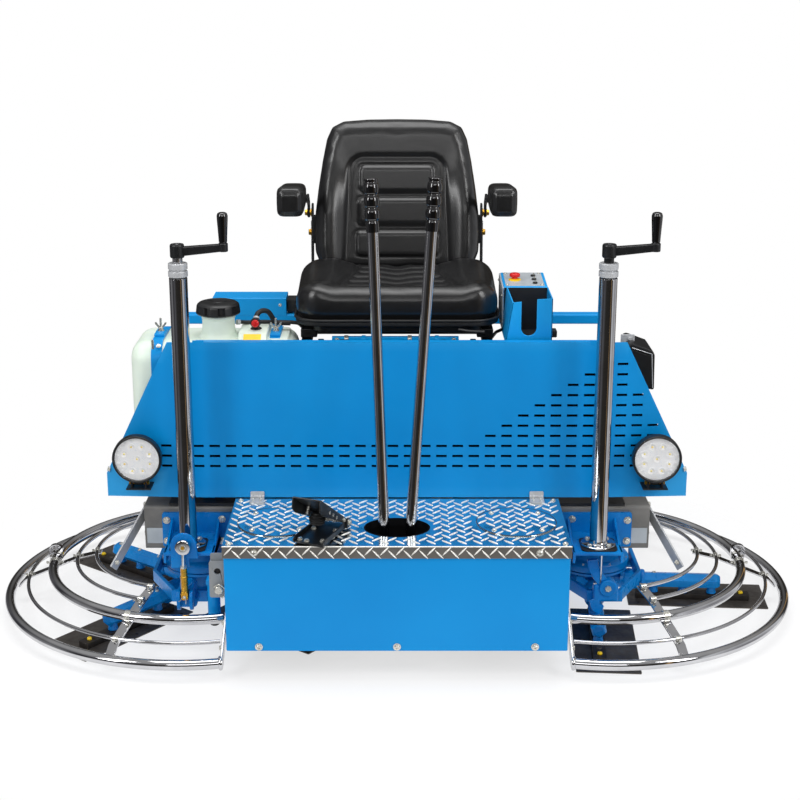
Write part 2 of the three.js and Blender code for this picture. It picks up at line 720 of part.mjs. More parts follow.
function engine() {
  const floor = TRAY_TOP + GAP;
  const block = box(-170, 170, -88, 146, floor, 500);
  const shroud = pad(roundedRect(-80, 130, 490, 650, 40), -165, 165, "x", 14, 3);
  return join(
    block,
    shroud,
    disc([0, 185, 440], 55, -150, 150, "x", 16),
    disc([0, 40, 400], 66, -200, -168, "x", 20),
    box(160, 570, -32, 4, 600, 640),
    box(566, 640, -90, 30, 560, 690),
  );
}

// ---------------------------------------------------------------- seat
function seatPan() {
  const pieces = [box(-205, 205, -70, 200, 722, 744)];
  for (const side of [-1, 1]) {
    pieces.push(box(side * 196, side * 236, -40, 222, RAIL.z1 + GAP, 723));
    pieces.push(box(side * 226, side * 234, 200, 262, 722, 746));
  }
  pieces.push(disc([0, 240, 732], 7, -232, 232, "x", 10));
  return join(...pieces);
}

function seatCushion() {
  const { half, y0, y1, z0, z1 } = SEAT;
  return pad(roundedRect(-half, half, y0, y1, 70), z0, z1, "z", 22, 4);
}

// The shell and pad of the backrest, leaning back, with the two side plates it hinges on.
const BACK = { tilt: THREE.MathUtils.degToRad(9), pivotY: 240, pivotZ: 732 };

function backrest() {
  const shape = new THREE.Shape();
  shape.moveTo(-206, 0);
  shape.lineTo(206, 0);
  shape.lineTo(213, 60);
  shape.lineTo(200, 190);
  shape.lineTo(176, 318);
  shape.quadraticCurveTo(168, 355, 130, 357);
  shape.lineTo(-130, 357);
  shape.quadraticCurveTo(-168, 355, -176, 318);
  shape.lineTo(-200, 190);
  shape.lineTo(-213, 60);
  const geometry = new THREE.ExtrudeGeometry(shape, {
    depth: 54,
    bevelThickness: 12,
    bevelSize: 12,
    bevelOffset: -12,
    bevelSegments: 2,
    curveSegments: 4,
  });
  geometry.rotateX(Math.PI / 2);
  geometry.rotateX(-BACK.tilt);
  geometry.translate(0, 276, 842);
  const pieces = [solid(geometry)];
  for (const side of [-1, 1]) {
    const plate = slab([[228, 718], [254, 718], [262, 850], [278, 985], [250, 985], [228, 850]], 0, 8, "x");
    pieces.push(plate.translate([side > 0 ? 215 : -223, 0, 0]));
    pieces.push(box(side * 196, side * 222, 234, 262, 880, 960));
  }
  return cut(join(...pieces), disc([0, BACK.pivotY, BACK.pivotZ], 7.9, -240, 240, "x", 10));
}

const ARMREST = { x: 262, pivotY: 258, pivotZ: 962 };

function armrest(side) {
  const x = side * ARMREST.x;
  const cushion = pad(roundedRect(x - 37, x + 37, 985, 1066, 16), 20, 236, "y", 10, 2, 1);
  const plate = slab(
    [[200, 996], [200, 1020], [262, 992], [272, 962], [262, 948], [248, 952]],
    side * 225.5,
    side * 232,
    "x",
  );
  return join(cushion, plate, disc([0, ARMREST.pivotY, ARMREST.pivotZ], 8, side * 224, side * 238, "x", 10));
}

// ---------------------------------------------------------------- the machine
add("front_beam", frontBeam(), greyPaint);
add("rear_frame", rearFrame(), greyPaint);
add("step_box", stepBox(), bluePaint);
add("deck_plate", deckPlate(), treadPlate);
add("hood_panel", hoodPanel(), bluePaint);
add("tank", tank(), whitePlastic);
add("tank_cap", tankCap(), blackPlastic);
add("tank_cradle", tankCradle(), bluePaint);
add("upper_frame", upperFrame(), bluePaint);
add("console", controlConsole(), bluePaint);
add("stop_button", stopButton(), redPlastic);
add("engine", engine(), blackPaint);
add("drive_shaft", driveShaft(), bladeSteel);
add("seat_pan", seatPan(), blackPaint);
add("seat_cushion", seatCushion(), vinyl);
add("backrest", backrest(), vinyl);
add("steering_lever_left", lever("left"), chrome);
add("steering_lever_right", lever("right"), chrome);

const pedal = new THREE.Group();
pedal.position.set(PEDAL.x, PEDAL.y, DECK_Z);
pedal.rotation.z = THREE.MathUtils.degToRad(PEDAL.turn);
add("pedal_base", pedalBase(), blackPaint, pedal);
add("foot_pedal", pedalTreadle(), blackPaint, pedal);
trowel.add(pedal);

for (const [name, side] of [["left", -1], ["right", 1]]) {
  add(`access_cover_${name}`, accessCover(side), treadPlate);
  add(`guard_ring_${name}`, guardRing(side), chrome);
  add(`guard_cage_${name}`, guardCage(side), chrome);
  add(`post_bracket_${name}`, postBracket(side), bluePaint);
  add(`post_${name}`, post(side), chrome);
  add(`crank_${name}`, crank(side), blackPaint);
  add(`crank_knob_${name}`, crankKnob(side), blackPlastic);
  add(`gearbox_${name}`, gearbox(side), bluePaint);
  add(`pitch_yoke_${name}`, pitchYoke(side), bluePaint);
  add(`lamp_${name}`, lamp(side), lampGlass);
  add(`armrest_${name}`, armrest(side), vinyl);

  const rotor = new THREE.Group();
  rotor.position.x = side * ROTOR_X;
  rotor.rotation.z = THREE.MathUtils.degToRad(ARM_PHASE[name]);
  add(`spider_${name}`, spider(side), bluePaint, rotor);
  for (let i = 0; i < ARMS; i++) {
    const arm = new THREE.Group();
    arm.rotation.z = (i * 2 * Math.PI) / ARMS;
    add(`arm_${name}_${i + 1}`, trowelArm(side), bluePaint, arm);
    add(`blade_${name}_${i + 1}`, blade(side), bladeSteel, arm);
    rotor.add(arm);
  }
  trowel.add(rotor);
}

export default trowel;
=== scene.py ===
"""Looks of the ride-on twin-rotor power trowel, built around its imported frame.
"""

import math

import bmesh
import bpy
import numpy as np
from mathutils import Matrix, Vector


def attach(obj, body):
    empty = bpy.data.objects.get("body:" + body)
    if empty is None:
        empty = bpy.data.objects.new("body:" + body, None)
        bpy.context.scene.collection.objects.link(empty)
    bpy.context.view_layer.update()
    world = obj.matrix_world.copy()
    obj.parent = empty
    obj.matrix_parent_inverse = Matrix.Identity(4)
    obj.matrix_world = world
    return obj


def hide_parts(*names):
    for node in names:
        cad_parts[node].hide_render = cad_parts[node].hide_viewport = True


MM = 0.001
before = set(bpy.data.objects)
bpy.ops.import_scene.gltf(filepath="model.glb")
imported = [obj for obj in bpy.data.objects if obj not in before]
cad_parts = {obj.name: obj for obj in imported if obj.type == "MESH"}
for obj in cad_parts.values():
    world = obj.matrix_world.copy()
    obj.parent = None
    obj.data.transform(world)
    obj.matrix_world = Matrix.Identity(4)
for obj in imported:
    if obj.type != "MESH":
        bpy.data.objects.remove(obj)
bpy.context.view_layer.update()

RIGHT, FORWARD, BACKWARD, UP = (1, 0, 0), (0, -1, 0), (0, 1, 0), (0, 0, 1)

# ------------------------------------------------------------------ driving dimensions
SIDES = (("left", -1), ("right", 1))
ROTOR_X = 505.5
ARM_Z = 50
ARM_PHASE = {"left": 52, "right": -4}  # degrees that the first arm is turned at rest
TRUNNION_Z = 245
SHAFT_Z = 175
RING_R = 485.5
TUBE_R = 12.5
FRONT_BAR_X = 403
REAR_END = 120
BOX_X = 390
BOX_FRONT = -487
BOX_BACK = -180
BOX_TOP = 329
DECK_Z = 334
DECK_X = BOX_X + 2
DECK_FRONT = -491
LIP_FRONT = -492
POST_X = {"left": -500, "right": 483}
POST_Y = -250
CRANK_REACH = 105
HOOD_Y = -177
HOOD_TOP = 724
HOOD_FOOT = 336
HOOD_BEND = 500
WING_ANGLE = math.radians(3)
LAMP_Y = -205
LAMP_Z = 449
LAMP_X = 620
COVER_X = 278
COVER_Y = -341
COVER_R = 94
COVER_HOLE_R = 82
LEVER_HOLE = (0, -374, 75, 59)  # centre x and y, half width and half depth
SHARP = math.radians(34)


# ------------------------------------------------------------------ mesh helpers
def soften(profile, width):
    """Rounds the inner corners of an open [radius, height] line with a short arc."""
    points = [Vector(p) for p in profile]
    out = [points[0]]
    for before, here, after in zip(points, points[1:], points[2:]):
        a, b = before - here, after - here
        if width <= 0 or a.length < 1e-6 or b.length < 1e-6 or a.angle(b) > math.radians(165):
            out.append(here)
            continue
        start = here + a.normalized() * min(width, a.length * 0.45)
        end = here + b.normalized() * min(width, b.length * 0.45)
        out += [start, (start + here * 2 + end) / 4, end]
    return out + [points[-1]]


def rounded(u0, u1, v0, v1, r, steps=6):
    """A rectangle's outline with rounded corners, anticlockwise."""
    corners = ((u1 - r, v0 + r, -90), (u1 - r, v1 - r, 0), (u0 + r, v1 - r, 90), (u0 + r, v0 + r, 180))
    points = []
    for cu, cv, start in corners:
        for k in range(steps + 1):
            a = math.radians(start + 90 * k / steps)
            points.append((cu + r * math.cos(a), cv + r * math.sin(a)))
    return points


def disc(r, low, high):
    """The half section of a round disc for Piece.lathe."""
    return cone(r, low, r, high)


def cone(r, low, top_r, high):
    return [(0, low), (r, low), (top_r, high), (0, high)]


def knob(r, low, edge, top_r, high):
    """The half section of a disc whose sides stand up to edge and then slope in to its top."""
    return [(0, low), (r, low), (r, edge), (top_r, high), (0, high)]


def band(inner, outer, low, high):
    """The closed half section of a flat ring."""
    return [(inner, low), (outer, low), (outer, high), (inner, high), (inner, low)]


def rect(u0, u1, v0, v1):
    return [(u0, v0), (u1, v0), (u1, v1), (u0, v1)]


def bow(centre, ru, rv, start, end, steps):
    """Points along part of an ellipse, from start to end in degrees."""
    turns = [math.radians(start + (end - start) * k / steps) for k in range(steps + 1)]
    return [(centre[0] + ru * math.cos(a), centre[1] + rv * math.sin(a)) for a in turns]


def circle(radius, sides=20, centre=(0, 0), squash=1.0, start=0.0):
    """A ring of points without the closing one."""
    return bow(centre, radius, radius * squash, start, start + 360, sides)[:-1]


def on_axis(point, height, axis):
    """A 2D point at a height: x takes [y, z] points, y takes [x, z] and z takes [x, y]."""
    u, v = point
    return {"x": (height, u, v), "y": (u, height, v), "z": (u, v, height)}[axis]


def arc(side, radius, z, a0, a1, steps):
    """Points round a rotor's axis; 0 degrees points away from the middle of the machine."""
    turns = [math.radians(a0 + (a1 - a0) * k / steps) for k in range(steps + 1)]
    return [(side * (ROTOR_X + radius * math.cos(a)), radius * math.sin(a), z) for a in turns]


def curve(points, steps=8):
    """A smooth Catmull-Rom line through the points."""
    p = [Vector(q) for q in points]
    p = [p[0] * 2 - p[1]] + p + [p[-1] * 2 - p[-2]]
    out = []
    for a, b, c, d in zip(p, p[1:], p[2:], p[3:]):
        for k in range(steps):
            t = k / steps
            square, cube = 2 * a - 5 * b + 4 * c - d, 3 * b - a - 3 * c + d
            out.append(0.5 * (2 * b + (c - a) * t + square * t**2 + cube * t**3))
    return out + [p[-2]]


def ramp_up(value, start, end):
    """0 before start, 1 after end, smooth between."""
    t = np.clip((value - start) / (end - start), 0, 1)
    return t * t * (3 - 2 * t)


class Piece:
    """Collects closed shells in millimetres and makes them one object."""

    def __init__(self, place=None):
        self.verts, self.faces, self.mats = [], [], []
        self.place = place or Matrix.Identity(4)

    def shell(self, verts, faces, mat=0, bevel=0.0, segments=2):
        made = bmesh.new()
        new = [made.verts.new(v) for v in verts]
        for face in faces:
            made.faces.new([new[i] for i in face])
        bmesh.ops.recalc_face_normals(made, faces=made.faces)
        if bevel:
            sharp = [e for e in made.edges if e.calc_face_angle(0) > SHARP]
            bmesh.ops.bevel(
                made, geom=sharp, offset=bevel, offset_type="OFFSET", segments=segments, profile=0.5,
                affect="EDGES", clamp_overlap=True,
            )
        start = len(self.verts)
        made.verts.index_update()
        self.verts += [self.place @ v.co for v in made.verts]
        self.faces += [[start + v.index for v in f.verts] for f in made.faces]
        self.mats += [mat] * len(made.faces)
        made.free()

    def loft(self, rings, mat=0, closed=False, bevel=0.0, segments=2):
        """Skins rings of equal length, capped at both ends or closed onto itself."""
        n, count = len(rings[0]), len(rings)
        faces = []
        for i in range(count if closed else count - 1):
            a, b = i * n, ((i + 1) % count) * n
            faces += [(a + k, a + (k + 1) % n, b + (k + 1) % n, b + k) for k in range(n)]
        if not closed:
            faces += [tuple(range(n - 1, -1, -1)), tuple((count - 1) * n + k for k in range(n))]
        self.shell([p for ring in rings for p in ring], faces, mat, bevel, segments)

    def prism(self, outline, lo, hi, axis, mat=0, bevel=1.0):
        self.loft([[on_axis(p, h, axis) for p in outline] for h in (lo, hi)], mat, bevel=bevel)

    def block(self, x0, x1, y0, y1, z0, z1, mat=0, bevel=1.0):
        self.prism(rect(x0, x1, y0, y1), z0, z1, "z", mat, bevel)

    def hoop(self, outer, inner, lo, hi, axis, mat=0, bevel=0.6):
        """A flat band or tube wall between two outlines of equal length."""
        walls = ((outer, lo), (outer, hi), (inner, hi), (inner, lo))
        rings = [[on_axis(p, h, axis) for p in line] for line, h in walls]
        self.loft(rings, mat, closed=True, bevel=bevel)

    def pad(self, u0, u1, v0, v1, r, lo, hi, axis, edge, mat=0, steps=4):
        """A block with a rounded outline and rounded ends."""
        bends = [math.pi / 2 * k / steps for k in range(steps + 1)]
        ends = [(edge * (1 - math.sin(a)), edge * (1 - math.cos(a))) for a in bends]
        heights = [(d, lo + h) for d, h in ends] + [(d, hi - h) for d, h in reversed(ends)]
        rings = []
        for d, h in heights:
            line = rounded(u0 + d, u1 - d, v0 + d, v1 - d, max(r - d, 1.5))
            rings.append([on_axis(p, h, axis) for p in line])
        self.loft(rings, mat)

    def lathe(self, profile, origin, direction=UP, sides=40, mat=0, soft=0.7, flute=None):
        """A turned shell of [radius, height] points; flute(turn, radius, height) may change a radius."""
        axis = Vector(direction).normalized()
        u = axis.orthogonal().normalized()
        v = axis.cross(u)
        ring_like = profile[0] == profile[-1]
        rings = []
        for r, h in soften(profile, soft)[: -1 if ring_like else None]:
            if r < 1e-6:
                continue
            ring = []
            for k in range(sides):
                a = 2 * math.pi * k / sides
                radius = flute(a, r, h) if flute else r
                ring.append(Vector(origin) + axis * h + (u * math.cos(a) + v * math.sin(a)) * radius)
            rings.append(ring)
        self.loft(rings, mat, closed=ring_like)

    def rod(self, a, b, r, mat=0, sides=28, end=None, soft=1.0):
        length = (Vector(b) - Vector(a)).length
        end = r if end is None else end
        self.lathe(cone(r, 0, end, length), a, Vector(b) - Vector(a), sides, mat, soft)

    def sweep(self, path, section, mat=0, up=None, bevel=0.0, taper=None):
        """Carries a flat section along a line. With up, the section's v axis stays nearest to it."""
        points = [Vector(p) for p in path]
        normal = None
        rings = []
        for i, here in enumerate(points):
            tangent = (points[min(i + 1, len(points) - 1)] - points[max(i - 1, 0)]).normalized()
            if up is not None:
                normal = Vector(up)
            elif normal is None:
                normal = tangent.orthogonal()
            side = tangent.cross(normal).normalized()
            normal = side.cross(tangent).normalized()
            scale = taper(i / (len(points) - 1)) if taper else 1.0
            rings.append([here + side * (u * scale) + normal * (v * scale) for u, v in section])
        self.loft(rings, mat, bevel=bevel)

    def tube(self, path, radius, mat=0, sides=20):
        self.sweep(path, circle(radius, sides), mat)

    def bolt(self, at, direction, size, mat=0, kind="hex"):
        """A fastener's head of a given radius with its washer."""
        self.lathe(disc(size * 1.25, 0, size * 0.22), at, direction, 20, mat, 0.3)
        start = Vector(at) + Vector(direction).normalized() * size * 0.2
        if kind == "hex":
            profile = knob(size, 0, size * 0.62, size * 0.8, size * 0.75)
            self.lathe(profile, start, direction, 6, mat, 0.3)
        else:
            profile = [(0, 0), (size, 0), (size * 0.92, size * 0.3), (size * 0.5, size * 0.58),
                       (size * 0.42, size * 0.56), (size * 0.38, size * 0.25), (0, size * 0.25)]
            self.lathe(profile, start, direction, 20, mat, 0.2)

    def bolts(self, places, direction, size, mat=0, kind="hex"):
        for at in places:
            self.bolt(at, direction, size, mat, kind)

    def hose(self, route, steps, radius, mat=0, sides=20):
        """A tube along a smooth line through a few points."""
        self.tube(curve(route, steps), radius, mat, sides)

    def finish(self, name, body, slot, materials, replaces=(), angle=SHARP, weighted=True):
        mesh = bpy.data.meshes.new(name)
        mesh.from_pydata([tuple(c * MM for c in v) for v in self.verts], [], self.faces)
        mesh.polygons.foreach_set("material_index", self.mats)
        made = bmesh.new()
        made.from_mesh(mesh)
        bmesh.ops.recalc_face_normals(made, faces=made.faces)
        made.to_mesh(mesh)
        made.free()
        return place_object(name, mesh, body, materials, replaces, angle, weighted)

    def skin(self, node, body, slot, materials, **how):
        """Finishes the piece as the skin that stands for a CAD node."""
        return self.finish(f"{node}_skin", body, slot, materials, [node], **how)


def place_object(name, mesh, body, materials, replaces=(), angle=SHARP, weighted=True):
    for material in materials:
        mesh.materials.append(material)
    mesh.shade_smooth()
    mesh.set_sharp_from_angle(angle=angle)
    obj = bpy.data.objects.new(name, mesh)
    bpy.context.scene.collection.objects.link(obj)
    if weighted:
        obj.modifiers.new("even_normals", "WEIGHTED_NORMAL").keep_sharp = True
    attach(obj, body)
    if replaces:
        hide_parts(*replaces)
    return obj


# ------------------------------------------------------------------ materials
WHITE = (1, 1, 1, 1)
WEAR = 0.6  # how far worn edges take the worn colour
MOST_GLOSS = 0.02
GRAIN_DEPTH = 0.0006


def linear(r, g, b):
    """An sRGB colour of 0 to 255 parts as linear RGBA."""
    parts = [c / 255 for c in (r, g, b)]
    return [c / 12.92 if c <= 0.04045 else ((c + 0.055) / 1.055) ** 2.4 for c in parts] + [1.0]


def set_sockets(node, **values):
    """Sets a node's inputs by name, with _ for a space."""
    for socket, value in values.items():
        node.inputs[socket.replace("_", " ")].default_value = value


def add_node(tree, kind, **values):
    node = tree.nodes.new(f"ShaderNode{kind}")
    set_sockets(node, **values)
    return node


def surface(
    name, color, second, roughness, metallic=0.0, patch=6.0, spread=0.5, rough_spread=0.06, fine=60.0,
    grain=0.0, grain_scale=700.0, cells=False, stretch=(1, 1, 1), worn=None, worn_from=0.56, **sockets,
):
    """A procedural finish: two close colours in soft patches, uneven gloss, a fine grain and worn edges."""
    mat = bpy.data.materials.new(name)
    mat.use_nodes = True
    tree, links = mat.node_tree, mat.node_tree.links
    shader = tree.nodes["Principled BSDF"]
    set_sockets(shader, Metallic=metallic, **sockets)
    place = add_node(tree, "TexCoord")
    mapping = add_node(tree, "Mapping", Scale=stretch)
    links.new(place.outputs["Object"], mapping.inputs["Vector"])

    def noise(scale, detail):
        node = add_node(tree, "TexNoise", Scale=scale, Detail=detail)
        links.new(mapping.outputs["Vector"], node.inputs["Vector"])
        return node.outputs["Fac"]

    ramp = add_node(tree, "ValToRGB")
    ramp.color_ramp.elements[0].position = 0.5 - spread / 2
    ramp.color_ramp.elements[0].color = linear(*color)
    ramp.color_ramp.elements[1].position = 0.5 + spread / 2
    ramp.color_ramp.elements[1].color = linear(*second)
    links.new(noise(patch, 6), ramp.inputs["Fac"])
    base = ramp.outputs["Color"]
    if worn:
        geometry = add_node(tree, "NewGeometry")
        edge = add_node(tree, "MapRange", From_Min=worn_from, From_Max=worn_from + 0.1, To_Max=WEAR)
        links.new(geometry.outputs["Pointiness"], edge.inputs["Value"])
        mix = add_node(tree, "Mix")
        mix.data_type = "RGBA"
        mix.inputs["B"].default_value = linear(*worn)
        links.new(edge.outputs["Result"], mix.inputs["Factor"])
        links.new(base, mix.inputs["A"])
        base = mix.outputs["Result"]
    links.new(base, shader.inputs["Base Color"])

    low, high = max(roughness - rough_spread, MOST_GLOSS), roughness + rough_spread
    gloss = add_node(tree, "MapRange", From_Min=0.3, From_Max=0.7, To_Min=low, To_Max=high)
    links.new(noise(fine, 4), gloss.inputs["Value"])
    links.new(gloss.outputs["Result"], shader.inputs["Roughness"])
    if grain:
        bump = add_node(tree, "Bump", Strength=grain, Distance=GRAIN_DEPTH)
        if cells:
            cell = add_node(tree, "TexVoronoi", Scale=grain_scale)
            cell.feature = "DISTANCE_TO_EDGE"
            links.new(mapping.outputs["Vector"], cell.inputs["Vector"])
            links.new(cell.outputs["Distance"], bump.inputs["Height"])
        else:
            links.new(noise(grain_scale, 3), bump.inputs["Height"])
        links.new(bump.outputs["Normal"], shader.inputs["Normal"])
    return mat


BLUE = surface("blue_paint", (0, 127, 197), (4, 139, 208), 0.36, patch=3, rough_spread=0.04,
               grain=0.05, grain_scale=500, worn=(60, 165, 225), Specular_IOR_Level=0.2)
# A lighter copy of the blue paint for the upper frame and console: painted light, where these parts look
# brighter from how the light falls on them.
LIT_BLUE = surface("lit_blue_paint", (4, 142, 214), (10, 152, 222), 0.36, patch=3, rough_spread=0.04,
                     grain=0.05, grain_scale=500, worn=(80, 180, 235), Specular_IOR_Level=0.25)
CAST_BLUE = surface("cast_blue_paint", (0, 98, 174), (0, 128, 204), 0.3, patch=14, grain=0.3,
                    grain_scale=260, worn=(40, 160, 226), Specular_IOR_Level=0.25)
CHROME = surface("chrome", (190, 190, 193), (214, 214, 216), 0.06, metallic=1.0, patch=18, rough_spread=0.03,
                 fine=160)
BRUSHED = surface("brushed_steel", (190, 190, 192), (206, 206, 208), 0.26, metallic=1.0, patch=14, fine=150,
                  rough_spread=0.04, grain=0.05, grain_scale=500, stretch=(1, 1, 6))
SATIN = surface("satin_zinc", (176, 178, 181), (198, 200, 203), 0.36, metallic=0.3, patch=30, fine=160)
ZINC = surface("zinc", (198, 196, 186), (226, 225, 218), 0.28, metallic=0.8, patch=60, fine=240)
YELLOW_ZINC = surface("yellow_zinc", (196, 140, 44), (226, 178, 76), 0.3, metallic=1.0, patch=50, fine=240)
PLUG_YELLOW = surface("yellow_plug", (232, 190, 6), (246, 210, 26), 0.4, patch=60, grain=0.05)
GREY = surface("grey_steel", (104, 103, 101), (134, 132, 128), 0.52, metallic=0.25, patch=16, grain=0.2,
               grain_scale=240, worn=(170, 168, 164))
LIP = surface("dark_tread", (84, 81, 77), (112, 108, 103), 0.36, metallic=0.5, patch=24, grain=0.1,
              grain_scale=320, worn=(200, 198, 194))
GREY_PAINT = surface("grey_paint", (122, 126, 128), (140, 143, 145), 0.42, patch=20, grain=0.08,
                     worn=(168, 170, 172))
BLACK_PAINT = surface("black_paint", (16, 17, 19), (27, 28, 30), 0.36, patch=24, grain=0.12, grain_scale=500,
                      worn=(66, 66, 68))
BLACK_PLASTIC = surface("black_plastic", (18, 19, 20), (28, 29, 31), 0.38, patch=20, grain=0.12,
                        grain_scale=420)
GLOSS_BLACK = surface("gloss_black", (6, 6, 7), (11, 11, 12), 0.08, patch=20, rough_spread=0.02,
                      Coat_Weight=1.0)
RUBBER = surface("rubber", (17, 17, 18), (30, 30, 31), 0.55, patch=30, grain=0.2, grain_scale=380)
VINYL = surface("vinyl", (13, 13, 14), (21, 21, 22), 0.33, patch=9, rough_spread=0.04, grain=0.1,
                grain_scale=620, cells=True, Coat_Weight=0.4, Coat_Roughness=0.24)
# Bright aluminium tinted slightly blue: the metal's own colour plus a painted reflection of the blue hood.
TREAD = surface("tread_plate", (222, 232, 236), (238, 244, 247), 0.12, metallic=1.0, patch=30,
                rough_spread=0.04, fine=120, grain=0.05, grain_scale=300)
LUG = surface("tread_lug", (236, 232, 224), (252, 250, 245), 0.3, metallic=0.4, patch=60, fine=200)
BLADE = surface("blade_steel", (60, 56, 53), (92, 87, 82), 0.42, metallic=0.55, patch=26, rough_spread=0.12,
                fine=90, grain=0.15, grain_scale=300, worn=(138, 132, 124), worn_from=0.54)
BLADE_BAR = surface("blade_bar", (36, 33, 31), (58, 53, 49), 0.45, metallic=0.5, patch=40, fine=120,
                    worn=(110, 104, 96))
HDPE = surface("natural_plastic", (206, 222, 208), (228, 237, 226), 0.42, patch=5, grain=0.06,
               grain_scale=200, Subsurface_Weight=0.25, Subsurface_Radius=(0.02, 0.02, 0.016))
RED = surface("red_plastic", (196, 22, 24), (222, 36, 34), 0.3, patch=40, grain=0.05)
LABEL = surface("yellow_label", (246, 196, 10), (252, 208, 34), 0.45, patch=40)
# White lamp reflector with a weak emission: a painted glow standing in for the light it reflects.
PAINTED_GLOW_REFLECTOR = surface("lamp_reflector_painted_glow", (222, 223, 225), (250, 250, 251), 0.26, patch=90, fine=200, grain=0.3,
                    grain_scale=160, Emission_Color=WHITE, Emission_Strength=0.22)
LED = surface("led", (232, 204, 110), (250, 230, 150), 0.3, patch=60, Emission_Color=(1.0, 0.8, 0.35, 1.0),
              Emission_Strength=0.3)
# Near-black and dull: painted shade for the inside of the step box, the wall of the lever opening and the
# sheets behind the hood slots.
PAINTED_SHADE = surface("painted_shade_inside", (5, 6, 8), (10, 11, 13), 0.8, patch=20, Specular_IOR_Level=0.1)
LENS = surface("lamp_lens", (250, 251, 252), (255, 255, 255), 0.03, patch=20, rough_spread=0.01,
               Transmission_Weight=1.0, IOR=1.15)
CONSOLE_SIDE = surface("pale_panel", (160, 168, 174), (182, 188, 193), 0.4, patch=20, grain=0.06)


# ------------------------------------------------------------------ camera, light and floor
CAMERA_AT = (0, -3.636, 1.601)
CAMERA_PITCH = 74.02
CAMERA_SHIFT = (0.00375, -0.014)

scene = bpy.context.scene
scene.view_settings.view_transform = "Standard"
camera = bpy.data.objects.new("camera", bpy.data.cameras.new("camera"))
camera.location = CAMERA_AT
camera.rotation_euler = (math.radians(CAMERA_PITCH), 0, 0)
camera.data.lens = 67.94
camera.data.sensor_width = 36
camera.data.shift_x, camera.data.shift_y = CAMERA_SHIFT
scene.collection.objects.link(camera)
scene.camera = camera


def softbox(name, at, target, size, power):
    lamp = bpy.data.lights.new(name, "AREA")
    lamp.shape = "RECTANGLE"
    lamp.size, lamp.size_y = size
    lamp.energy = power
    obj = bpy.data.objects.new(name, lamp)
    obj.location = at
    obj.rotation_euler = (Vector(target) - Vector(at)).to_track_quat("-Z", "Y").to_euler()
    scene.collection.objects.link(obj)


softbox("key_left", (-2.7, -2.2, 2.3), (0, 0, 0.6), (0.7, 2.0), 44)
softbox("fill_right", (2.7, -2.2, 2.3), (0, 0, 0.6), (0.7, 2.0), 44)
softbox("overhead", (0, -0.2, 3.6), (0, 0, 0), (3.0, 1.6), 58)
softbox("front", (0, -4.6, 2.6), (0, 0, 0.5), (3.2, 0.9), 30)

AROUND = ((0.0, (0.3, 0.3, 0.31)), (0.05, (0.04, 0.04, 0.045)), (0.14, (0.12, 0.12, 0.13)),
          (0.3, (0.035, 0.033, 0.03)), (0.7, (0.03, 0.026, 0.022)), (0.775, (0.05, 0.045, 0.04)),
          (0.79, (0.75, 0.45, 0.16)), (0.81, (0.05, 0.045, 0.04)), (0.885, (0.06, 0.06, 0.06)),
          (0.92, (0.85, 0.86, 0.88)), (0.98, (0.5, 0.5, 0.52)), (1.0, (0.3, 0.3, 0.31)),)


def studio():
    """White for what the eye sees, and a dark studio with a few bright strips for what gloss mirrors."""
    world = bpy.data.worlds.new("studio")
    scene.world = world
    world.use_nodes = True
    tree, links = world.node_tree, world.node_tree.links

    def background(strength):
        return add_node(tree, "Background", Color=WHITE, Strength=strength)

    def mixed(factor, first, second):
        node = add_node(tree, "MixShader")
        links.new(factor, node.inputs["Fac"])
        links.new(first, node.inputs[1])
        links.new(second, node.inputs[2])
        return node.outputs["Shader"]

    seen, ambient, mirrored, ceiling = background(1.0), background(0.62), background(0.9), background(0.42)
    place = add_node(tree, "TexCoord")
    parts = add_node(tree, "SeparateXYZ")
    links.new(place.outputs["Generated"], parts.inputs["Vector"])
    around = add_node(tree, "ValToRGB")
    ramp = around.color_ramp
    for stop in AROUND[2:]:
        ramp.elements.new(stop[0])
    for element, (position, value) in zip(ramp.elements, AROUND):
        element.position = position
        element.color = (*value, 1)
    spread = add_node(tree, "MapRange", From_Min=-1)
    links.new(parts.outputs["X"], spread.inputs["Value"])
    links.new(spread.outputs["Result"], around.inputs["Fac"])
    links.new(around.outputs["Color"], mirrored.inputs["Color"])
    above = add_node(tree, "MapRange", From_Min=0.3, From_Max=0.75)
    links.new(parts.outputs["Z"], above.inputs["Value"])
    rays = add_node(tree, "LightPath")
    sky = mixed(above.outputs["Result"], mirrored.outputs["Background"], ceiling.outputs["Background"])
    lit = mixed(rays.outputs["Is Glossy Ray"], ambient.outputs["Background"], sky)
    shown = mixed(rays.outputs["Is Camera Ray"], lit, seen.outputs["Background"])
    links.new(shown, tree.nodes["World Output"].inputs["Surface"])


def studio_floor():
    """A pale lit floor that fades out round the machine."""
    bpy.ops.mesh.primitive_circle_add(vertices=96, radius=1.6, fill_type="NGON")
    floor = bpy.context.object
    floor.name = "studio_floor"
    mat = surface("studio_floor", (150, 150, 151), (156, 156, 157), 0.8, patch=0.5,
                  Emission_Color=WHITE, Emission_Strength=0.64)
    tree, links = mat.node_tree, mat.node_tree.links
    place = add_node(tree, "TexCoord")
    reach = add_node(tree, "VectorMath")
    reach.operation = "LENGTH"
    links.new(place.outputs["Object"], reach.inputs[0])
    fade = add_node(tree, "MapRange", From_Min=0.95, From_Max=1.3, To_Min=1.0, To_Max=0.0)
    fade.interpolation_type = "SMOOTHSTEP"
    links.new(reach.outputs["Value"], fade.inputs["Value"])
    links.new(fade.outputs["Result"], tree.nodes["Principled BSDF"].inputs["Alpha"])
    floor.data.materials.append(mat)


studio()
studio_floor()

# ------------------------------------------------------------------ frame and beams
BEAM_X, BEAM_Y0, BEAM_Y1, BEAM_Z0, BEAM_Z1, BEAM_WALL = 622, 60, 150, 190, 303, 6


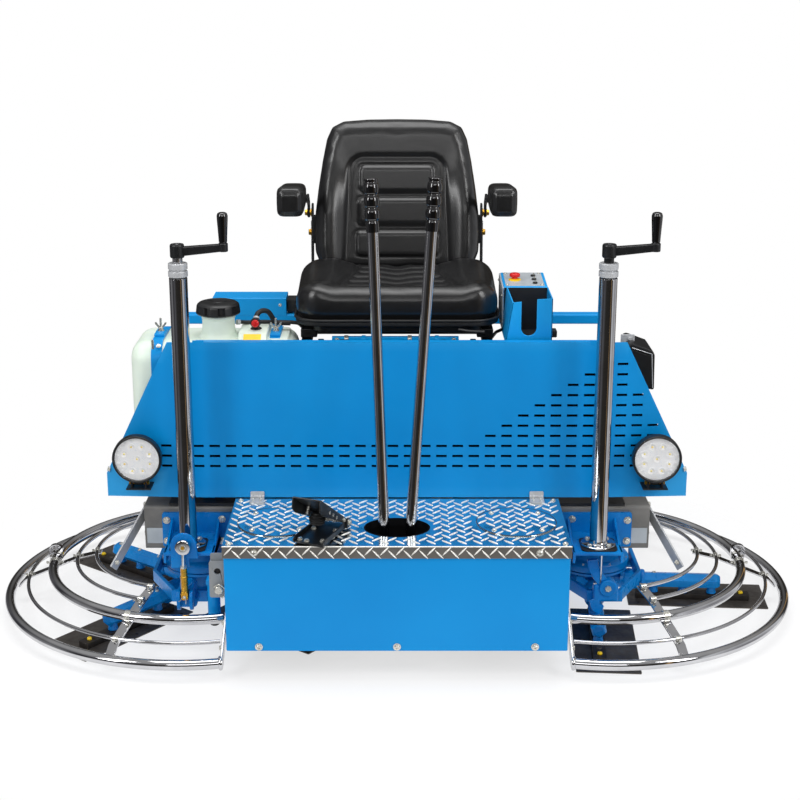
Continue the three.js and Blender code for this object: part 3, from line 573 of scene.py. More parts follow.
def beam_tube(piece, sign, mat=0):
    """A box-section tube across the machine with rounded corners and open ends."""
    y0, y1 = sorted((sign * BEAM_Y0, sign * BEAM_Y1))
    outer = rounded(y0, y1, BEAM_Z0, BEAM_Z1, 9, 4)
    inner = rounded(y0 + BEAM_WALL, y1 - BEAM_WALL, BEAM_Z0 + BEAM_WALL, BEAM_Z1 - BEAM_WALL, 4, 4)
    piece.hoop(outer, inner, -BEAM_X, BEAM_X, "x", mat, 0.5)


def front_beam():
    piece = Piece()
    beam_tube(piece, -1)
    for side in (-1, 1):
        top, foot = Vector((side * 619, -98, 285)), Vector((side * 699, -182, 152))
        piece.sweep([top, foot], rect(-13, 13, -2.5, 2.5), 1, up=(side * 0.5, 0.6, 0.3), bevel=0.8)
        piece.bolt((side * 622.5, -98, 287), (side, 0, 0), 9, 2)
        piece.bolt((side * 622.5, -98, 215), (side, 0, 0), 9, 2)
        piece.bolt((side * 690, -178, 166), (0, -1, 0.4), 5, 2)
        piece.block(side * 570, side * 617, -151.5, -150, 206, 246, 3, 0.3)
    piece.skin("front_beam", "frame", "grey_paint", [GREY, SATIN, ZINC, CONSOLE_SIDE])


def rear_frame():
    deck_top, plate_y = 311.3, 442
    piece = Piece()
    beam_tube(piece, 1)
    piece.block(-560, 560, -BEAM_Y1, BEAM_Y1, BEAM_Z1 + 0.5, deck_top, 1, 1.5)
    for side in (-1, 1):
        x0, x1 = sorted((side * 295, side * 345))
        outer, inner = rounded(x0, x1, 230, 290, 6, 3), rounded(x0 + 5, x1 - 5, 235, 285, 3, 3)
        piece.hoop(outer, inner, BEAM_Y1 - 1, 434, "y", 0, 0.4)
        piece.block(side * 286, side * 314, -24, BEAM_Y0 + 1, 192, 204, 0, 1)
        bearing = [(26, 0), (32, 4), (32, 24), (26, 28), (16, 28), (16, 0), (26, 0)]
        piece.lathe(bearing, (side * 300 - 14, 0, SHAFT_Z), RIGHT, 32, 2, 1)
        piece.bolts([(side * x, 128, deck_top) for x in (-520, -400, -240, -100)], UP, 7, 3)
        piece.bolts([(side * 320, plate_y, z) for z in (246, 272)], BACKWARD, 9, 3)
    piece.prism(rounded(-345, 345, 62, 290, 10, 4), 434, plate_y, "y", 0, 1)
    piece.prism(rounded(-256, 256, 30, 70, 8, 4), 434.5, plate_y - 0.5, "y", 0, 1)
    piece.skin("rear_frame", "frame", "grey_paint", [GREY, BLACK_PAINT, CAST_BLUE, ZINC])


# ------------------------------------------------------------------ rotors
def rotor_place(name, side, turn=0.0):
    turned = Matrix.Rotation(math.radians(ARM_PHASE[name] + turn), 4, "Z")
    return Matrix.Translation((side * ROTOR_X, 0, 0)) @ turned


def spider(name, side):
    piece = Piece(rotor_place(name, side))
    hub = [(0, 25), (56, 25), (60, 29), (60, 38), (50, 46), (48, 72), (34, 80), (18, 82), (18, 96.5),
           (0, 96.5)]
    piece.lathe(hub, (0, 0, 0), sides=56, soft=3)
    for turn in range(0, 360, 90):
        at = Matrix.Rotation(math.radians(turn), 3, "Z")
        socket = [(0, 0), (23, 0), (23, 44), (25, 48), (26, 54), (26, 80), (25, 86), (20, 90), (14.6, 90),
                  (14.6, 70), (0, 70)]
        piece.lathe(socket, at @ Vector((32, 0, ARM_Z)), at @ Vector(RIGHT), 40, 0, 2.5)
        piece.lathe(knob(10, 20, 25, 8, 26.4), at @ Vector((96, 0, ARM_Z)), UP, 28, 0, 1)
        piece.rod(at @ Vector((54, 0, ARM_Z + 22)), at @ Vector((54, 0, ARM_Z + 29)), 3.4, 2, 12)
        rib = [(20, 60), (52, 60), (44, 76), (20, 80)]
        sides = [[at @ Vector((u, w, v)) for u, v in rib] for w in (-6, 6)]
        piece.loft(sides, 0, bevel=2)
    piece.skin(f"spider_{name}", f"rotor_{name}", "blue_paint", [CAST_BLUE, ZINC, YELLOW_ZINC])


def trowel_arm(name, side, index):
    piece = Piece(rotor_place(name, side, index * 90))
    piece.rod((55, 0, ARM_Z), (127, 0, ARM_Z), 13.4, 0, 28)
    collar = [(0, 0), (22, 0), (25.5, 3), (25.5, 10), (23, 13), (0, 13)]
    piece.lathe(collar, (123, 0, ARM_Z), RIGHT, 36, 0, 1.5)
    bar = [(0, 0), (17, 0), (20.4, 8), (20.4, 194), (15, 203), (0, 203)]
    piece.lathe(bar, (126, 0, ARM_Z), RIGHT, 6, 0, 3.0)
    finger = [(-side * y, z) for y, z in ((0, 40), (16, 48), (44, 74), (44, 86), (28, 86), (0, 60))]
    piece.prism(finger, 70, 80, "x", 0, 2)
    for r in (160, 235, 308):
        piece.lathe([(0, 18.3), (13, 18.3), (11, 26), (11, 36), (0, 36)], (r, 0, 0), sides=24, soft=1)
        piece.bolt((r, 0, 67), UP, 5, 1)
    body = f"trowel_arm_{name}_{index + 1}"
    node = f"arm_{name}_{index + 1}"
    piece.finish(f"{node}_skin", body, "blue_paint", [CAST_BLUE, ZINC], [node])

    piece = Piece(rotor_place(name, side, index * 90))
    leading, trailing = side * 94, -side * 58
    sole, bar_top = 3, 18
    piece.prism(rounded(92, 447, *sorted((leading, trailing)), 3, 3), 0, sole, "z", 0, 0.8)
    piece.prism(rounded(115, 405, -16, 16, 4, 3), sole - 0.5, bar_top, "z", 2, 1.6)
    piece.lathe(knob(6.4, 17.5, 21, 5, 23.5), (383, 0, 0), sides=6, mat=1, soft=1.2)
    for r in (140, 350):
        piece.lathe(cone(7, 17.5, 6, 19.5), (r, 0, 0), sides=16, mat=0)
    for r in (120, 272, 425):
        piece.lathe(cone(5, 2.6, 4, 4.2), (r, trailing * 0.75, 0), sides=16, mat=2, soft=0.5)
    node = f"blade_{name}_{index + 1}"
    piece.finish(f"{node}_skin", body, "blade_steel", [BLADE, PLUG_YELLOW, BLADE_BAR], [node])


def gearbox(name, side):
    x = side * ROTOR_X
    piece = Piece()
    flange = [(0, 97), (90, 97), (93, 100), (93, 116), (88, 122), (80, 125), (80, 160), (72, 174),
              (54, 187), (0, 188)]
    piece.lathe(flange, (x, 0, 0), sides=56, soft=3)
    piece.bolts([(u, v, 118) for u, v in circle(86, 8, (x, 0), start=22.5)], UP, 4.2, 1)
    nose = [(0, 0), (34, 0), (34, 8), (28, 12), (28, 44), (0, 44)]
    piece.lathe(nose, (x - side * 60, 0, SHAFT_Z), (-side, 0, 0), 36, 0, 2)
    piece.block(x - 24, x + 24, -46, 46, 185, 266, 0, 4)
    piece.rod((x, -64, TRUNNION_Z), (x, 64, TRUNNION_Z), 12, 1, 28)
    piece.lathe(knob(9, 0, 6, 5, 10), (x + side * 20, -30, 186), sides=6, mat=2)
    piece.skin(f"gearbox_{name}", f"gearbox_{name}", "blue_paint", [CAST_BLUE, ZINC, YELLOW_ZINC])


YOKE_Z, YOKE_FLAT, YOKE_TOP = 88, 95, 118


def pitch_yoke(name, side):
    x = side * ROTOR_X
    front = -322 if side < 0 else -262
    piece = Piece()
    piece.lathe(band(58, 90, YOKE_Z, YOKE_FLAT), (x, 0, 0), sides=48, soft=1.5)
    for end in (-1, 1):
        piece.block(x + end * 86, x + end * 106, -24, 24, YOKE_Z, YOKE_FLAT, 0, 1.5)
        piece.block(x + end * 98, x + end * 108, -112, 40, YOKE_Z, YOKE_TOP, 0, 2)
        bend = [(x + end * 98, -110), (x + end * 108, -112), (x + end * 42, -236), (x + end * 32, -232)]
        piece.prism(bend, YOKE_Z, YOKE_TOP, "z", 0, 2)
    piece.block(x - 44, x + 44, -240, -228, YOKE_Z, YOKE_TOP, 0, 2)
    if side < 0:
        for u in (-19, 11):
            piece.prism(rounded(front, -228, 98, 148, 16, 6), x + u, x + u + 8, "x", 0, 1.5)
        piece.pad(x - 24, x + 24, 92, 118, 9, -282, -232, "y", 4, 0)
        turnbuckle(piece, x)
    else:
        piece.pad(-262, -230, 96, 142, 8, x - 30, x + 30, "x", 5, 0)
        fork_lever(piece, x)
    piece.skin(f"pitch_yoke_{name}", f"pitch_yoke_{name}", "blue_paint",
                 [CAST_BLUE, YELLOW_ZINC, CHROME, ZINC])


def turnbuckle(piece, x):
    """Clevis, gold link and rod end in front of a round lug, from the yoke up."""
    y, eye_z = -314, 260
    piece.pad(x - 9, x + 9, 128, 150, 6, y - 8, y + 8, "y", 2, 1)
    piece.rod((x, y - 10, 137), (x, y + 10, 137), 4, 3, 18)
    piece.hose([(x - 5, y - 11, 137), (x - 9, y - 11, 130), (x - 14, y - 10, 126)], 4, 0.8, 3, 8)
    piece.hose([(x + 2, y - 11, 137), (x + 4, y - 11, 128), (x + 3, y - 10, 120)], 4, 0.8, 3, 8)
    link = [(0, 148), (8.4, 148), (8.4, 182), (9.4, 183), (9.4, 187), (8, 188), (8, 208), (0, 208)]
    piece.lathe(link, (x, y, 0), sides=8, mat=1, soft=0.5)
    piece.lathe(disc(8, 207, 214), (x, y, 0), sides=6, mat=3, soft=0.6)
    piece.rod((x, y, 213), (x, y, 246), 4.6, 2, 20)
    eye = [(9, -6), (17, -6), (19, -3), (19, 3), (17, 6), (9, 6), (9, -6)]
    piece.lathe(eye, (x, y, eye_z), BACKWARD, 36, 2, 1)
    piece.lathe(disc(8.6, -5, 5), (x, y, eye_z), BACKWARD, 24, 3, 1)
    piece.lathe(cone(5, 4.5, 4.4, 7), (x, y, eye_z), FORWARD, 20, 1, 0.5)
    dome = bow((x, eye_z), 31, 31, 0, 180, 20)
    piece.prism([(x + 34, 228), *dome, (x - 31, 228)], -305, -297, "y", 0, 1.5)
    piece.block(x - 31, x - 23, -297, -244, 204, 246, 0, 2)
    piece.block(x - 31, x + 12, -306, -298, 204, 230, 0, 3)


def fork_lever(piece, x):
    """The thin pull rod, the fork that takes it and the curved lever below."""
    piece.rod((x - 14, -258, 132), (x - 14, -258, 229), 2.6, 2, 16)
    arm = curve([(x - 34, -246, 203), (x - 31, -248, 184), (x - 18, -252, 160), (x - 2, -252, 140)], 6)
    piece.sweep(arm, rect(-13, 13, -7, 7), 0, up=FORWARD, bevel=3)
    boss_at = (x + 4, -266, 134)
    piece.lathe([(0, 0), (20, 0), (22, 3), (22, 25), (20, 28), (0, 28)], boss_at, BACKWARD, 40, 0, 2)
    piece.lathe([(0, 0), (9, 0), (8, 4), (0, 5)], boss_at, FORWARD, 6, 3, 0.8)
    piece.rod((x - 30, -250, 140), (x + 20, -250, 140), 5, 3, 20)
    lever = curve([(x - 28, -256, 104), (x - 23, -262, 86), (x - 10, -262, 77)], 5)
    piece.sweep(lever, rect(-12, 12, -5, 5), 0, up=FORWARD, bevel=2)


def drive_shaft():
    piece = Piece()
    piece.rod((-384, 0, SHAFT_Z), (384, 0, SHAFT_Z), 14, 0, 28)
    for side in (-1, 1):
        coupling = [(0, 0), (30, 0), (30, 6), (27, 8), (27, 12), (30, 14), (30, 20), (0, 20)]
        piece.lathe(coupling, (side * 386 - 10, 0, SHAFT_Z), RIGHT, 36, 1, 0.8)
    pulley = [(0, 0), (55, 0), (55, 3), (48, 7), (55, 11), (55, 17), (48, 21), (55, 25), (55, 28), (0, 28)]
    piece.lathe(pulley, (-196, 0, SHAFT_Z), RIGHT, 48, 1, 0.5)
    piece.skin("drive_shaft", "drive_shaft", "blade_steel", [BRUSHED, BLADE])


# ------------------------------------------------------------------ guards
def meets(radius, x):
    """The angle at which a ring of this radius reaches a plane beside the step box."""
    return -math.degrees(math.acos((x - ROTOR_X) / radius))


def guard_ring(name, side):
    piece = Piece()
    piece.tube(arc(side, RING_R, 40, meets(RING_R, FRONT_BAR_X), REAR_END, 120), TUBE_R, 0, 28)
    bar = [(-487, 28), (-462, 28), (-348, 92), (-348, 116), (-362, 116), (-487, 50)]
    piece.prism(bar, side * FRONT_BAR_X - 3, side * FRONT_BAR_X + 3, "x", 1, 1.5)
    ends = knob(17, 0, 5, 14, 8)
    start = arc(side, RING_R, 40, meets(RING_R, FRONT_BAR_X), 0, 60)[:2]
    piece.lathe(ends, start[0], Vector(start[1]) - Vector(start[0]), 28, 0, 2)
    for y, z in ((-440, 62), (-376, 96)):
        piece.bolt((side * (FRONT_BAR_X + 3), y, z), (side, 0, 0), 6, 2)
    piece.skin(f"guard_ring_{name}", "frame", "chrome", [CHROME, BRUSHED, ZINC])


STRAP_LINE = [(468, 44), (452, 62), (438, 69.5), (375, 94), (314, 118.5), (254, 131.5)]
RODS = ((438, 72), (314, 121), (265, 134))
UPPER_RING = (375, 102)
ROD_R = 4.75


def guard_cage(name, side):
    piece = Piece()
    clear = FRONT_BAR_X + 7.6
    radius, z = UPPER_RING
    piece.tube(arc(side, radius, z, meets(radius, clear), REAR_END, 96), TUBE_R, 0, 28)
    for radius, z in RODS:
        start = meets(radius, clear) if radius > UPPER_RING[0] else -71
        piece.tube(arc(side, radius, z, start, REAR_END, 80), ROD_R, 0, 16)
    for degrees in (-70, -4, 62, REAR_END - 1.6):
        a = math.radians(degrees)
        out = Vector((side * math.cos(a), math.sin(a), 0))
        across = Vector((-out.y, out.x, 0))
        centre = Vector((side * ROTOR_X, 0, 0))

        def at(r, height):
            return centre + out * r + Vector((0, 0, height))

        line = [at(r, height - 2) for r, height in STRAP_LINE]
        piece.sweep(line, rect(-12, 12, -2, 2), 1, up=UP, bevel=0.6)
        for r, height in RODS + (UPPER_RING,):
            size = TUBE_R if (r, height) == UPPER_RING else ROD_R
            saddle = [at(r, height) + across * u for u in (-7, 7)]
            piece.sweep(saddle, circle(size + 1.6, 18), 2)
            for u in (-1, 1):
                bolt_at = at(r + u * (size + 6), height + (1 if size > 6 else -1))
                piece.lathe(disc(3.6, -2, 3), bolt_at, sides=6, mat=2, soft=0.4)
    x = side * 880.5
    eye = [(x - 18, 114), (x + 18, 114), (x + 18, 128)]
    eye += bow((x, 128), 18, 15.5, 0, 180, 14)[1:-1]
    eye += [(x - 18, 128)]
    hole = circle(8, len(eye), (x, 129))
    turned = hole[-4:] + hole[:-4]
    piece.hoop(eye, turned, -6, 6, "y", 1, 0.8)
    piece.block(x - 17, x + 17, -5, 5, 104, 116, 1, 0.8)
    piece.skin(f"guard_cage_{name}", "frame", "chrome", [CHROME, CHROME, ZINC])


# ------------------------------------------------------------------ posts and cranks
def post_bracket(name, side):
    piece = Piece()
    x0, x1 = sorted((side * 385, side * 577))
    piece.prism(rounded(x0, x1, 200, 289, 6, 4), -160, -150.5, "y", 0, 1.2)
    near, far = abs(POST_X[name]) - 65, abs(POST_X[name]) + 55
    channel = [(near, 240), (far, 240), (far, 214), (far - 6, 212), (far - 7, 232), (near + 7, 232),
               (near + 6, 212), (near, 214)]
    piece.prism([(side * u, v) for u, v in channel], -298, -159, "y", 0, 1.5)
    for u in (near + 3, far - 3):
        web = [(-159, 206), (-159, 276), (-176, 268), (-250, 240), (-296, 240), (-296, 218)]
        piece.prism(web, side * u - 3, side * u + 3, "x", 0, 1)
    corners = ((566, 270), (430, 273), (566, 216), (430, 216))
    piece.bolts([(side * u, -160, v) for u, v in corners], FORWARD, 7.5, 1)
    piece.skin(f"post_bracket_{name}", "frame", "blue_paint", [CAST_BLUE, ZINC])


def post(name):
    x = POST_X[name]
    piece = Piece()
    piece.prism(rounded(x - 43, x + 43, POST_Y - 43, POST_Y + 43, 14, 5), 240.4, 243, "z", 2, 0.5)
    tube = [(0, 243), (41, 243), (42, 244), (42, 247), (40, 248.5), (24, 249), (21.5, 252), (21, 256),
            (21, 895), (0, 895)]
    piece.lathe(tube, (x, POST_Y, 0), sides=64, soft=0.6)
    nuts = [(0, 894), (21, 898), (22.4, 899), (22.4, 910.5), (21.6, 911.5), (17.6, 911.5), (17.6, 915.5),
            (21.4, 915.5), (22.2, 916.5), (22.2, 928.5), (21, 930), (0, 930)]
    piece.lathe(nuts, (x, POST_Y, 0), sides=64, mat=1, soft=0.3)
    piece.bolts([(u, v, 248) for u, v in circle(33, 4, (x, POST_Y), start=45)], UP, 5.2, 3)
    piece.skin(f"post_{name}", "frame", "chrome", [CHROME, SATIN, RUBBER, ZINC])


def crank(name, side):
    x = POST_X[name]
    end = x + CRANK_REACH
    piece = Piece()
    neck = disc(11.5, 930.4, 943)
    piece.lathe(neck, (x, POST_Y, 0), sides=32, mat=1 if side < 0 else 0, soft=0.8)
    hub = [(0, 942), (15, 942), (16.5, 945), (16.5, 970), (15, 973.5), (0, 974)]
    piece.lathe(hub, (x, POST_Y, 0), sides=40, soft=1.2)
    rings = []
    for t in (0.0, 0.06, 0.5, 0.94, 1.0):
        half = 9 - 1.5 * t
        low, high = 946 + 11 * t, 967 + 7.5 * t
        squeeze = 0.8 if t == 1.0 else 1.0
        line = rounded(POST_Y - half * squeeze, POST_Y + half * squeeze, low, high, 2.6, 3)
        rings.append([on_axis(p, x + 8 + (CRANK_REACH - 4) * t, "x") for p in line])
    piece.loft(rings)
    piece.lathe([(0, 956), (10, 956), (11, 958), (11, 974), (9.5, 976), (0, 976)], (end, POST_Y, 0),
                sides=32, soft=0.8)
    piece.lathe(disc(5, 972, 975), (x, POST_Y, 0), sides=6, mat=1, soft=0.4)
    piece.skin(f"crank_{name}", f"crank_{name}", "black_paint", [BLACK_PAINT, BRUSHED])

    knob = Piece()
    profile = [(0, 976.4), (8.4, 976.4), (9.6, 979), (10, 990), (12.4, 1030), (12.6, 1038), (11, 1043.5),
               (7, 1046), (0, 1046)]
    knob.lathe(profile, (end, POST_Y, 0), sides=40, soft=1.2)
    knob.skin(f"crank_knob_{name}", f"crank_knob_{name}", "black_plastic", [GLOSS_BLACK])


for name, side in SIDES:
    spider(name, side)
    for index in range(4):
        trowel_arm(name, side, index)
    gearbox(name, side)
    pitch_yoke(name, side)
    guard_ring(name, side)
    guard_cage(name, side)
    post_bracket(name, side)
    post(name)
    crank(name, side)
front_beam()
rear_frame()
drive_shaft()

# ------------------------------------------------------------------ step box and deck
LUG_PITCH = 35.0


def step_box():
    piece = Piece()
    outer = rounded(-BOX_X, BOX_X, BOX_FRONT, BOX_BACK, 5, 4)
    inner = rounded(-BOX_X + 4, BOX_X - 4, BOX_FRONT + 4, BOX_BACK - 4, 2, 4)
    piece.hoop(outer, inner, 76.5, BOX_TOP, "z", 0, 0.8)
    # A near-black band just inside the box walls: painted shade inside the box.
    shade_band = rounded(-BOX_X + 6, BOX_X - 6, BOX_FRONT + 6, BOX_BACK - 6, 2, 4)
    piece.hoop(inner, shade_band, 78, BOX_TOP - 0.5, "z", 6)
    piece.bolts([(x, BOX_FRONT, 87) for x in (-315, 0, 315)], FORWARD, 7.2, 2, "button")
    piece.rod((-BOX_X + 1, -392, 150), (BOX_X - 1, -392, 150), 10, 4, 28)
    plate = rounded(-426, -BOX_X + 1, 198, 286, 5, 4)
    hole = circle(7.5, len(plate), (-407, 262), start=-90)
    shifted = hole[4:] + hole[:4]
    piece.hoop(plate, shifted, -462, -458, "y", 1, 0.5)
    piece.lathe(disc(8.4, 0, 1.5), (-407, -457.4, 262), BACKWARD, 24, 3, 0.2)
    piece.prism(rounded(-423, -BOX_X + 1, 284, 303, 4, 4), -455, -451, "y", 1, 0.6)
    piece.block(-426, -422, -461, -436, 204, 280, 1, 1)
    piece.lathe(knob(10, 0, 3, 8, 5), (-405, -462, 216), FORWARD, 28, 2, 0.8)
    piece.tube(curve([(-416, -463, 224), (-404, -468, 232), (-392, -466, 222), (-391, -464, 206),
                      (-398, -463, 197)], 6), 1.6, 2, 10)
    piece.block(-450, -BOX_X + 1, -344, -316, 176, 190, 0, 1.5)
    piece.rod((-434, -330, 99), (-434, -330, 180), 15, 0, 32, soft=2)
    wheel = [(0, -8), (12, -8), (15.5, -6), (15.5, 6), (12, 8), (0, 8)]
    piece.lathe(wheel, (-434, -330, 84), BACKWARD, 36, 3, 1)
    piece.lathe(cone(7, 0, 6, 2.5), (-434, -338, 84), FORWARD, 24, 5, 0.5)
    piece.skin("step_box", "frame", "blue_paint",
                 [BLUE, GREY_PAINT, ZINC, RUBBER, BRUSHED, YELLOW_ZINC, PAINTED_SHADE])


def lug(piece, centre, turn, normal_axis, mat):
    """One raised, lens-shaped bar of the tread pattern."""
    rings = []
    for length, width, height in ((15.0, 2.5, -0.3), (14.0, 2.0, 1.0), (11.0, 1.2, 1.8), (6.0, 0.5, 2.1)):
        ring = []
        for k in range(10):
            a = 2 * math.pi * k / 10
            u, v = length * math.cos(a), width * math.sin(a) * (1 - 0.35 * abs(math.cos(a)))
            p = (u * math.cos(turn) - v * math.sin(turn), u * math.sin(turn) + v * math.cos(turn))
            if normal_axis == "z":
                ring.append((centre[0] + p[0], centre[1] + p[1], centre[2] + height))
            else:
                ring.append((centre[0] + p[0], centre[1] - height, centre[2] + p[1]))
        rings.append(ring)
    piece.loft(rings, mat)


def lug_grid(x0, x1, v0, v1, inside):
    """Centres and turns of the lugs whose whole bar lies inside."""
    half = LUG_PITCH / 2
    for row in range(int((v1 - v0) / half) + 1):
        for column in range(int((x1 - x0) / LUG_PITCH) + 2):
            x = x0 + column * LUG_PITCH + (row % 2) * half
            v = v0 + row * half
            turn = math.radians(-46 if row % 2 else 46)
            reach = 9 * math.cos(turn), 9 * math.sin(turn)
            if all(inside(x + s * reach[0], v + s * reach[1]) for s in (-1, 0, 1)):
                yield x, v, turn


def in_cover(x, y):
    return any(math.hypot(x - s * COVER_X, y - COVER_Y) < COVER_R for s in (-1, 1))


def in_lever_hole(x, y, margin):
    cx, cy, rx, ry = LEVER_HOLE
    return ((x - cx) / (rx + margin)) ** 2 + ((y - cy) / (ry + margin)) ** 2 < 1


def lever_oval(grow=0.0):
    """The outline of the opening round the levers."""
    cx, cy, rx, ry = LEVER_HOLE
    return circle(rx + grow, 56, (cx, cy), (ry + grow) / (rx + grow))


def deck_sheet():
    """The flat top with its oval and two round openings, filled with triangles and solidified."""
    made = bmesh.new()
    loops = [rect(-DECK_X, DECK_X, DECK_FRONT, BOX_BACK), lever_oval()]
    loops += [circle(COVER_HOLE_R, 56, (side * COVER_X, COVER_Y)) for side in (-1, 1)]
    edges = []
    for loop in loops:
        verts = [made.verts.new((u, v, DECK_Z)) for u, v in loop]
        edges += [made.edges.new((a, b)) for a, b in zip(verts, verts[1:] + verts[:1])]
    bmesh.ops.triangle_fill(made, edges=edges, use_beauty=True)
    for face in made.faces:
        if face.normal.z < 0:
            face.normal_flip()
    made.verts.index_update()
    top = [(v.co.x, v.co.y) for v in made.verts]
    tris = [[v.index for v in f.verts] for f in made.faces]
    rim = [(e.verts[0].index, e.verts[1].index) for e in made.edges if len(e.link_faces) == 1]
    made.free()
    n = len(top)
    verts = [(u, v, DECK_Z) for u, v in top] + [(u, v, BOX_TOP + 0.4) for u, v in top]
    faces = tris + [[n + i for i in reversed(t)] for t in tris] + [(a, b, n + b, n + a) for a, b in rim]
    return verts, faces


def deck():
    piece = Piece()
    verts, faces = deck_sheet()
    piece.shell(verts, faces, 0)
    x = DECK_X
    piece.block(-x, x, LIP_FRONT, -487.3, 305, DECK_Z - 0.6, 1, 1.2)
    piece.rod((-x, LIP_FRONT + 1.6, DECK_Z - 1.2), (x, LIP_FRONT + 1.6, DECK_Z - 1.2), 1.7, 2, 12, soft=0.3)

    def on_deck(u, v):
        on_sheet = abs(u) < x - 4 and -486 < v < BOX_BACK - 5
        return on_sheet and not in_cover(u, v) and not in_lever_hole(u, v, 8)

    for u, v, turn in lug_grid(-x - 4, x, -483, BOX_BACK, on_deck):
        lug(piece, (u, v, DECK_Z), turn, "z", 2)
    for column in range(int(2 * x / LUG_PITCH)):
        u = -x + 14 + column * LUG_PITCH
        lug(piece, (u, LIP_FRONT, 323), math.radians(46), "y", 2)
        lug(piece, (u + LUG_PITCH / 2, LIP_FRONT, 315), math.radians(-46), "y", 2)
    # The lever opening's wall, near-black: painted shade down the hole.
    piece.hoop(lever_oval(1.5), lever_oval(-1), BOX_TOP - 12, DECK_Z + 0.8, "z", 3, 0.3)
    for side in (-1, 1):
        piece.bolts([(side * 378, v, DECK_Z) for v in (-475, -195)], UP, 5.6, 4, "button")
        piece.bolt((side * 320, LIP_FRONT, 319), FORWARD, 7, 4, "button")
        hinge_x = sorted((side * 322, side * 356))
        piece.prism(rounded(*hinge_x, -214, -181, 3, 3), DECK_Z + 0.2, DECK_Z + 2.8, "z", 5, 0.5)
        for k in range(5):
            start = hinge_x[0] + 34 * k / 5
            piece.rod((start + 0.4, -180.5, DECK_Z + 4.5), (start + 6.4, -180.5, DECK_Z + 4.5), 4.6, 5,
                      20, soft=0.5)
        piece.prism(rounded(*hinge_x, DECK_Z + 6, DECK_Z + 18, 3, 3), -180.4, -178, "y", 5, 0.5)
        screws = [(side * 339 + u, v, DECK_Z + 2.6) for v in (-189, -204) for u in (-9, 9)]
        piece.bolts(screws, UP, 3, 4, "button")
    piece.finish("deck_skin", "frame", "tread_plate", [TREAD, LIP, LUG, PAINTED_SHADE, ZINC, SATIN], ["deck_plate"])


def access_cover(name, side):
    piece = Piece()
    centre = (side * COVER_X, COVER_Y, 0)
    screws = circle(78, 4, centre[:2], start=45)
    piece.lathe([(0, 334.35), (93, 334.35), (94, 335), (93, 336.2), (0, 336.3)], centre, sides=72, mat=0,
                soft=0.3)

    def on_cover(u, v):
        near = any(math.hypot(u - su, v - sv) < 8 for su, sv in screws)
        return math.hypot(u - centre[0], v - centre[1]) < COVER_R and not near

    for u, v, turn in lug_grid(-BOX_X - 6, BOX_X + 2, -483, BOX_BACK, on_cover):
        lug(piece, (u, v, 336.2), turn, "z", 1)
    piece.bolts([(u, v, 336) for u, v in screws], UP, 5.4, 2, "button")
    rim = band(91.6, 93.6, 335.6, 336.5)
    piece.lathe(rim, centre, sides=72, mat=3, soft=0.1)
    piece.skin(f"access_cover_{name}", "frame", "tread_plate", [TREAD, LUG, ZINC, RUBBER])


# ------------------------------------------------------------------ foot pedal
PEDAL_PLACE = Matrix.Translation((-172, -422, DECK_Z)) @ Matrix.Rotation(math.radians(-22), 4, "Z")
PEDAL_HINGE = (60, 16)
PEDAL_HALF = 38


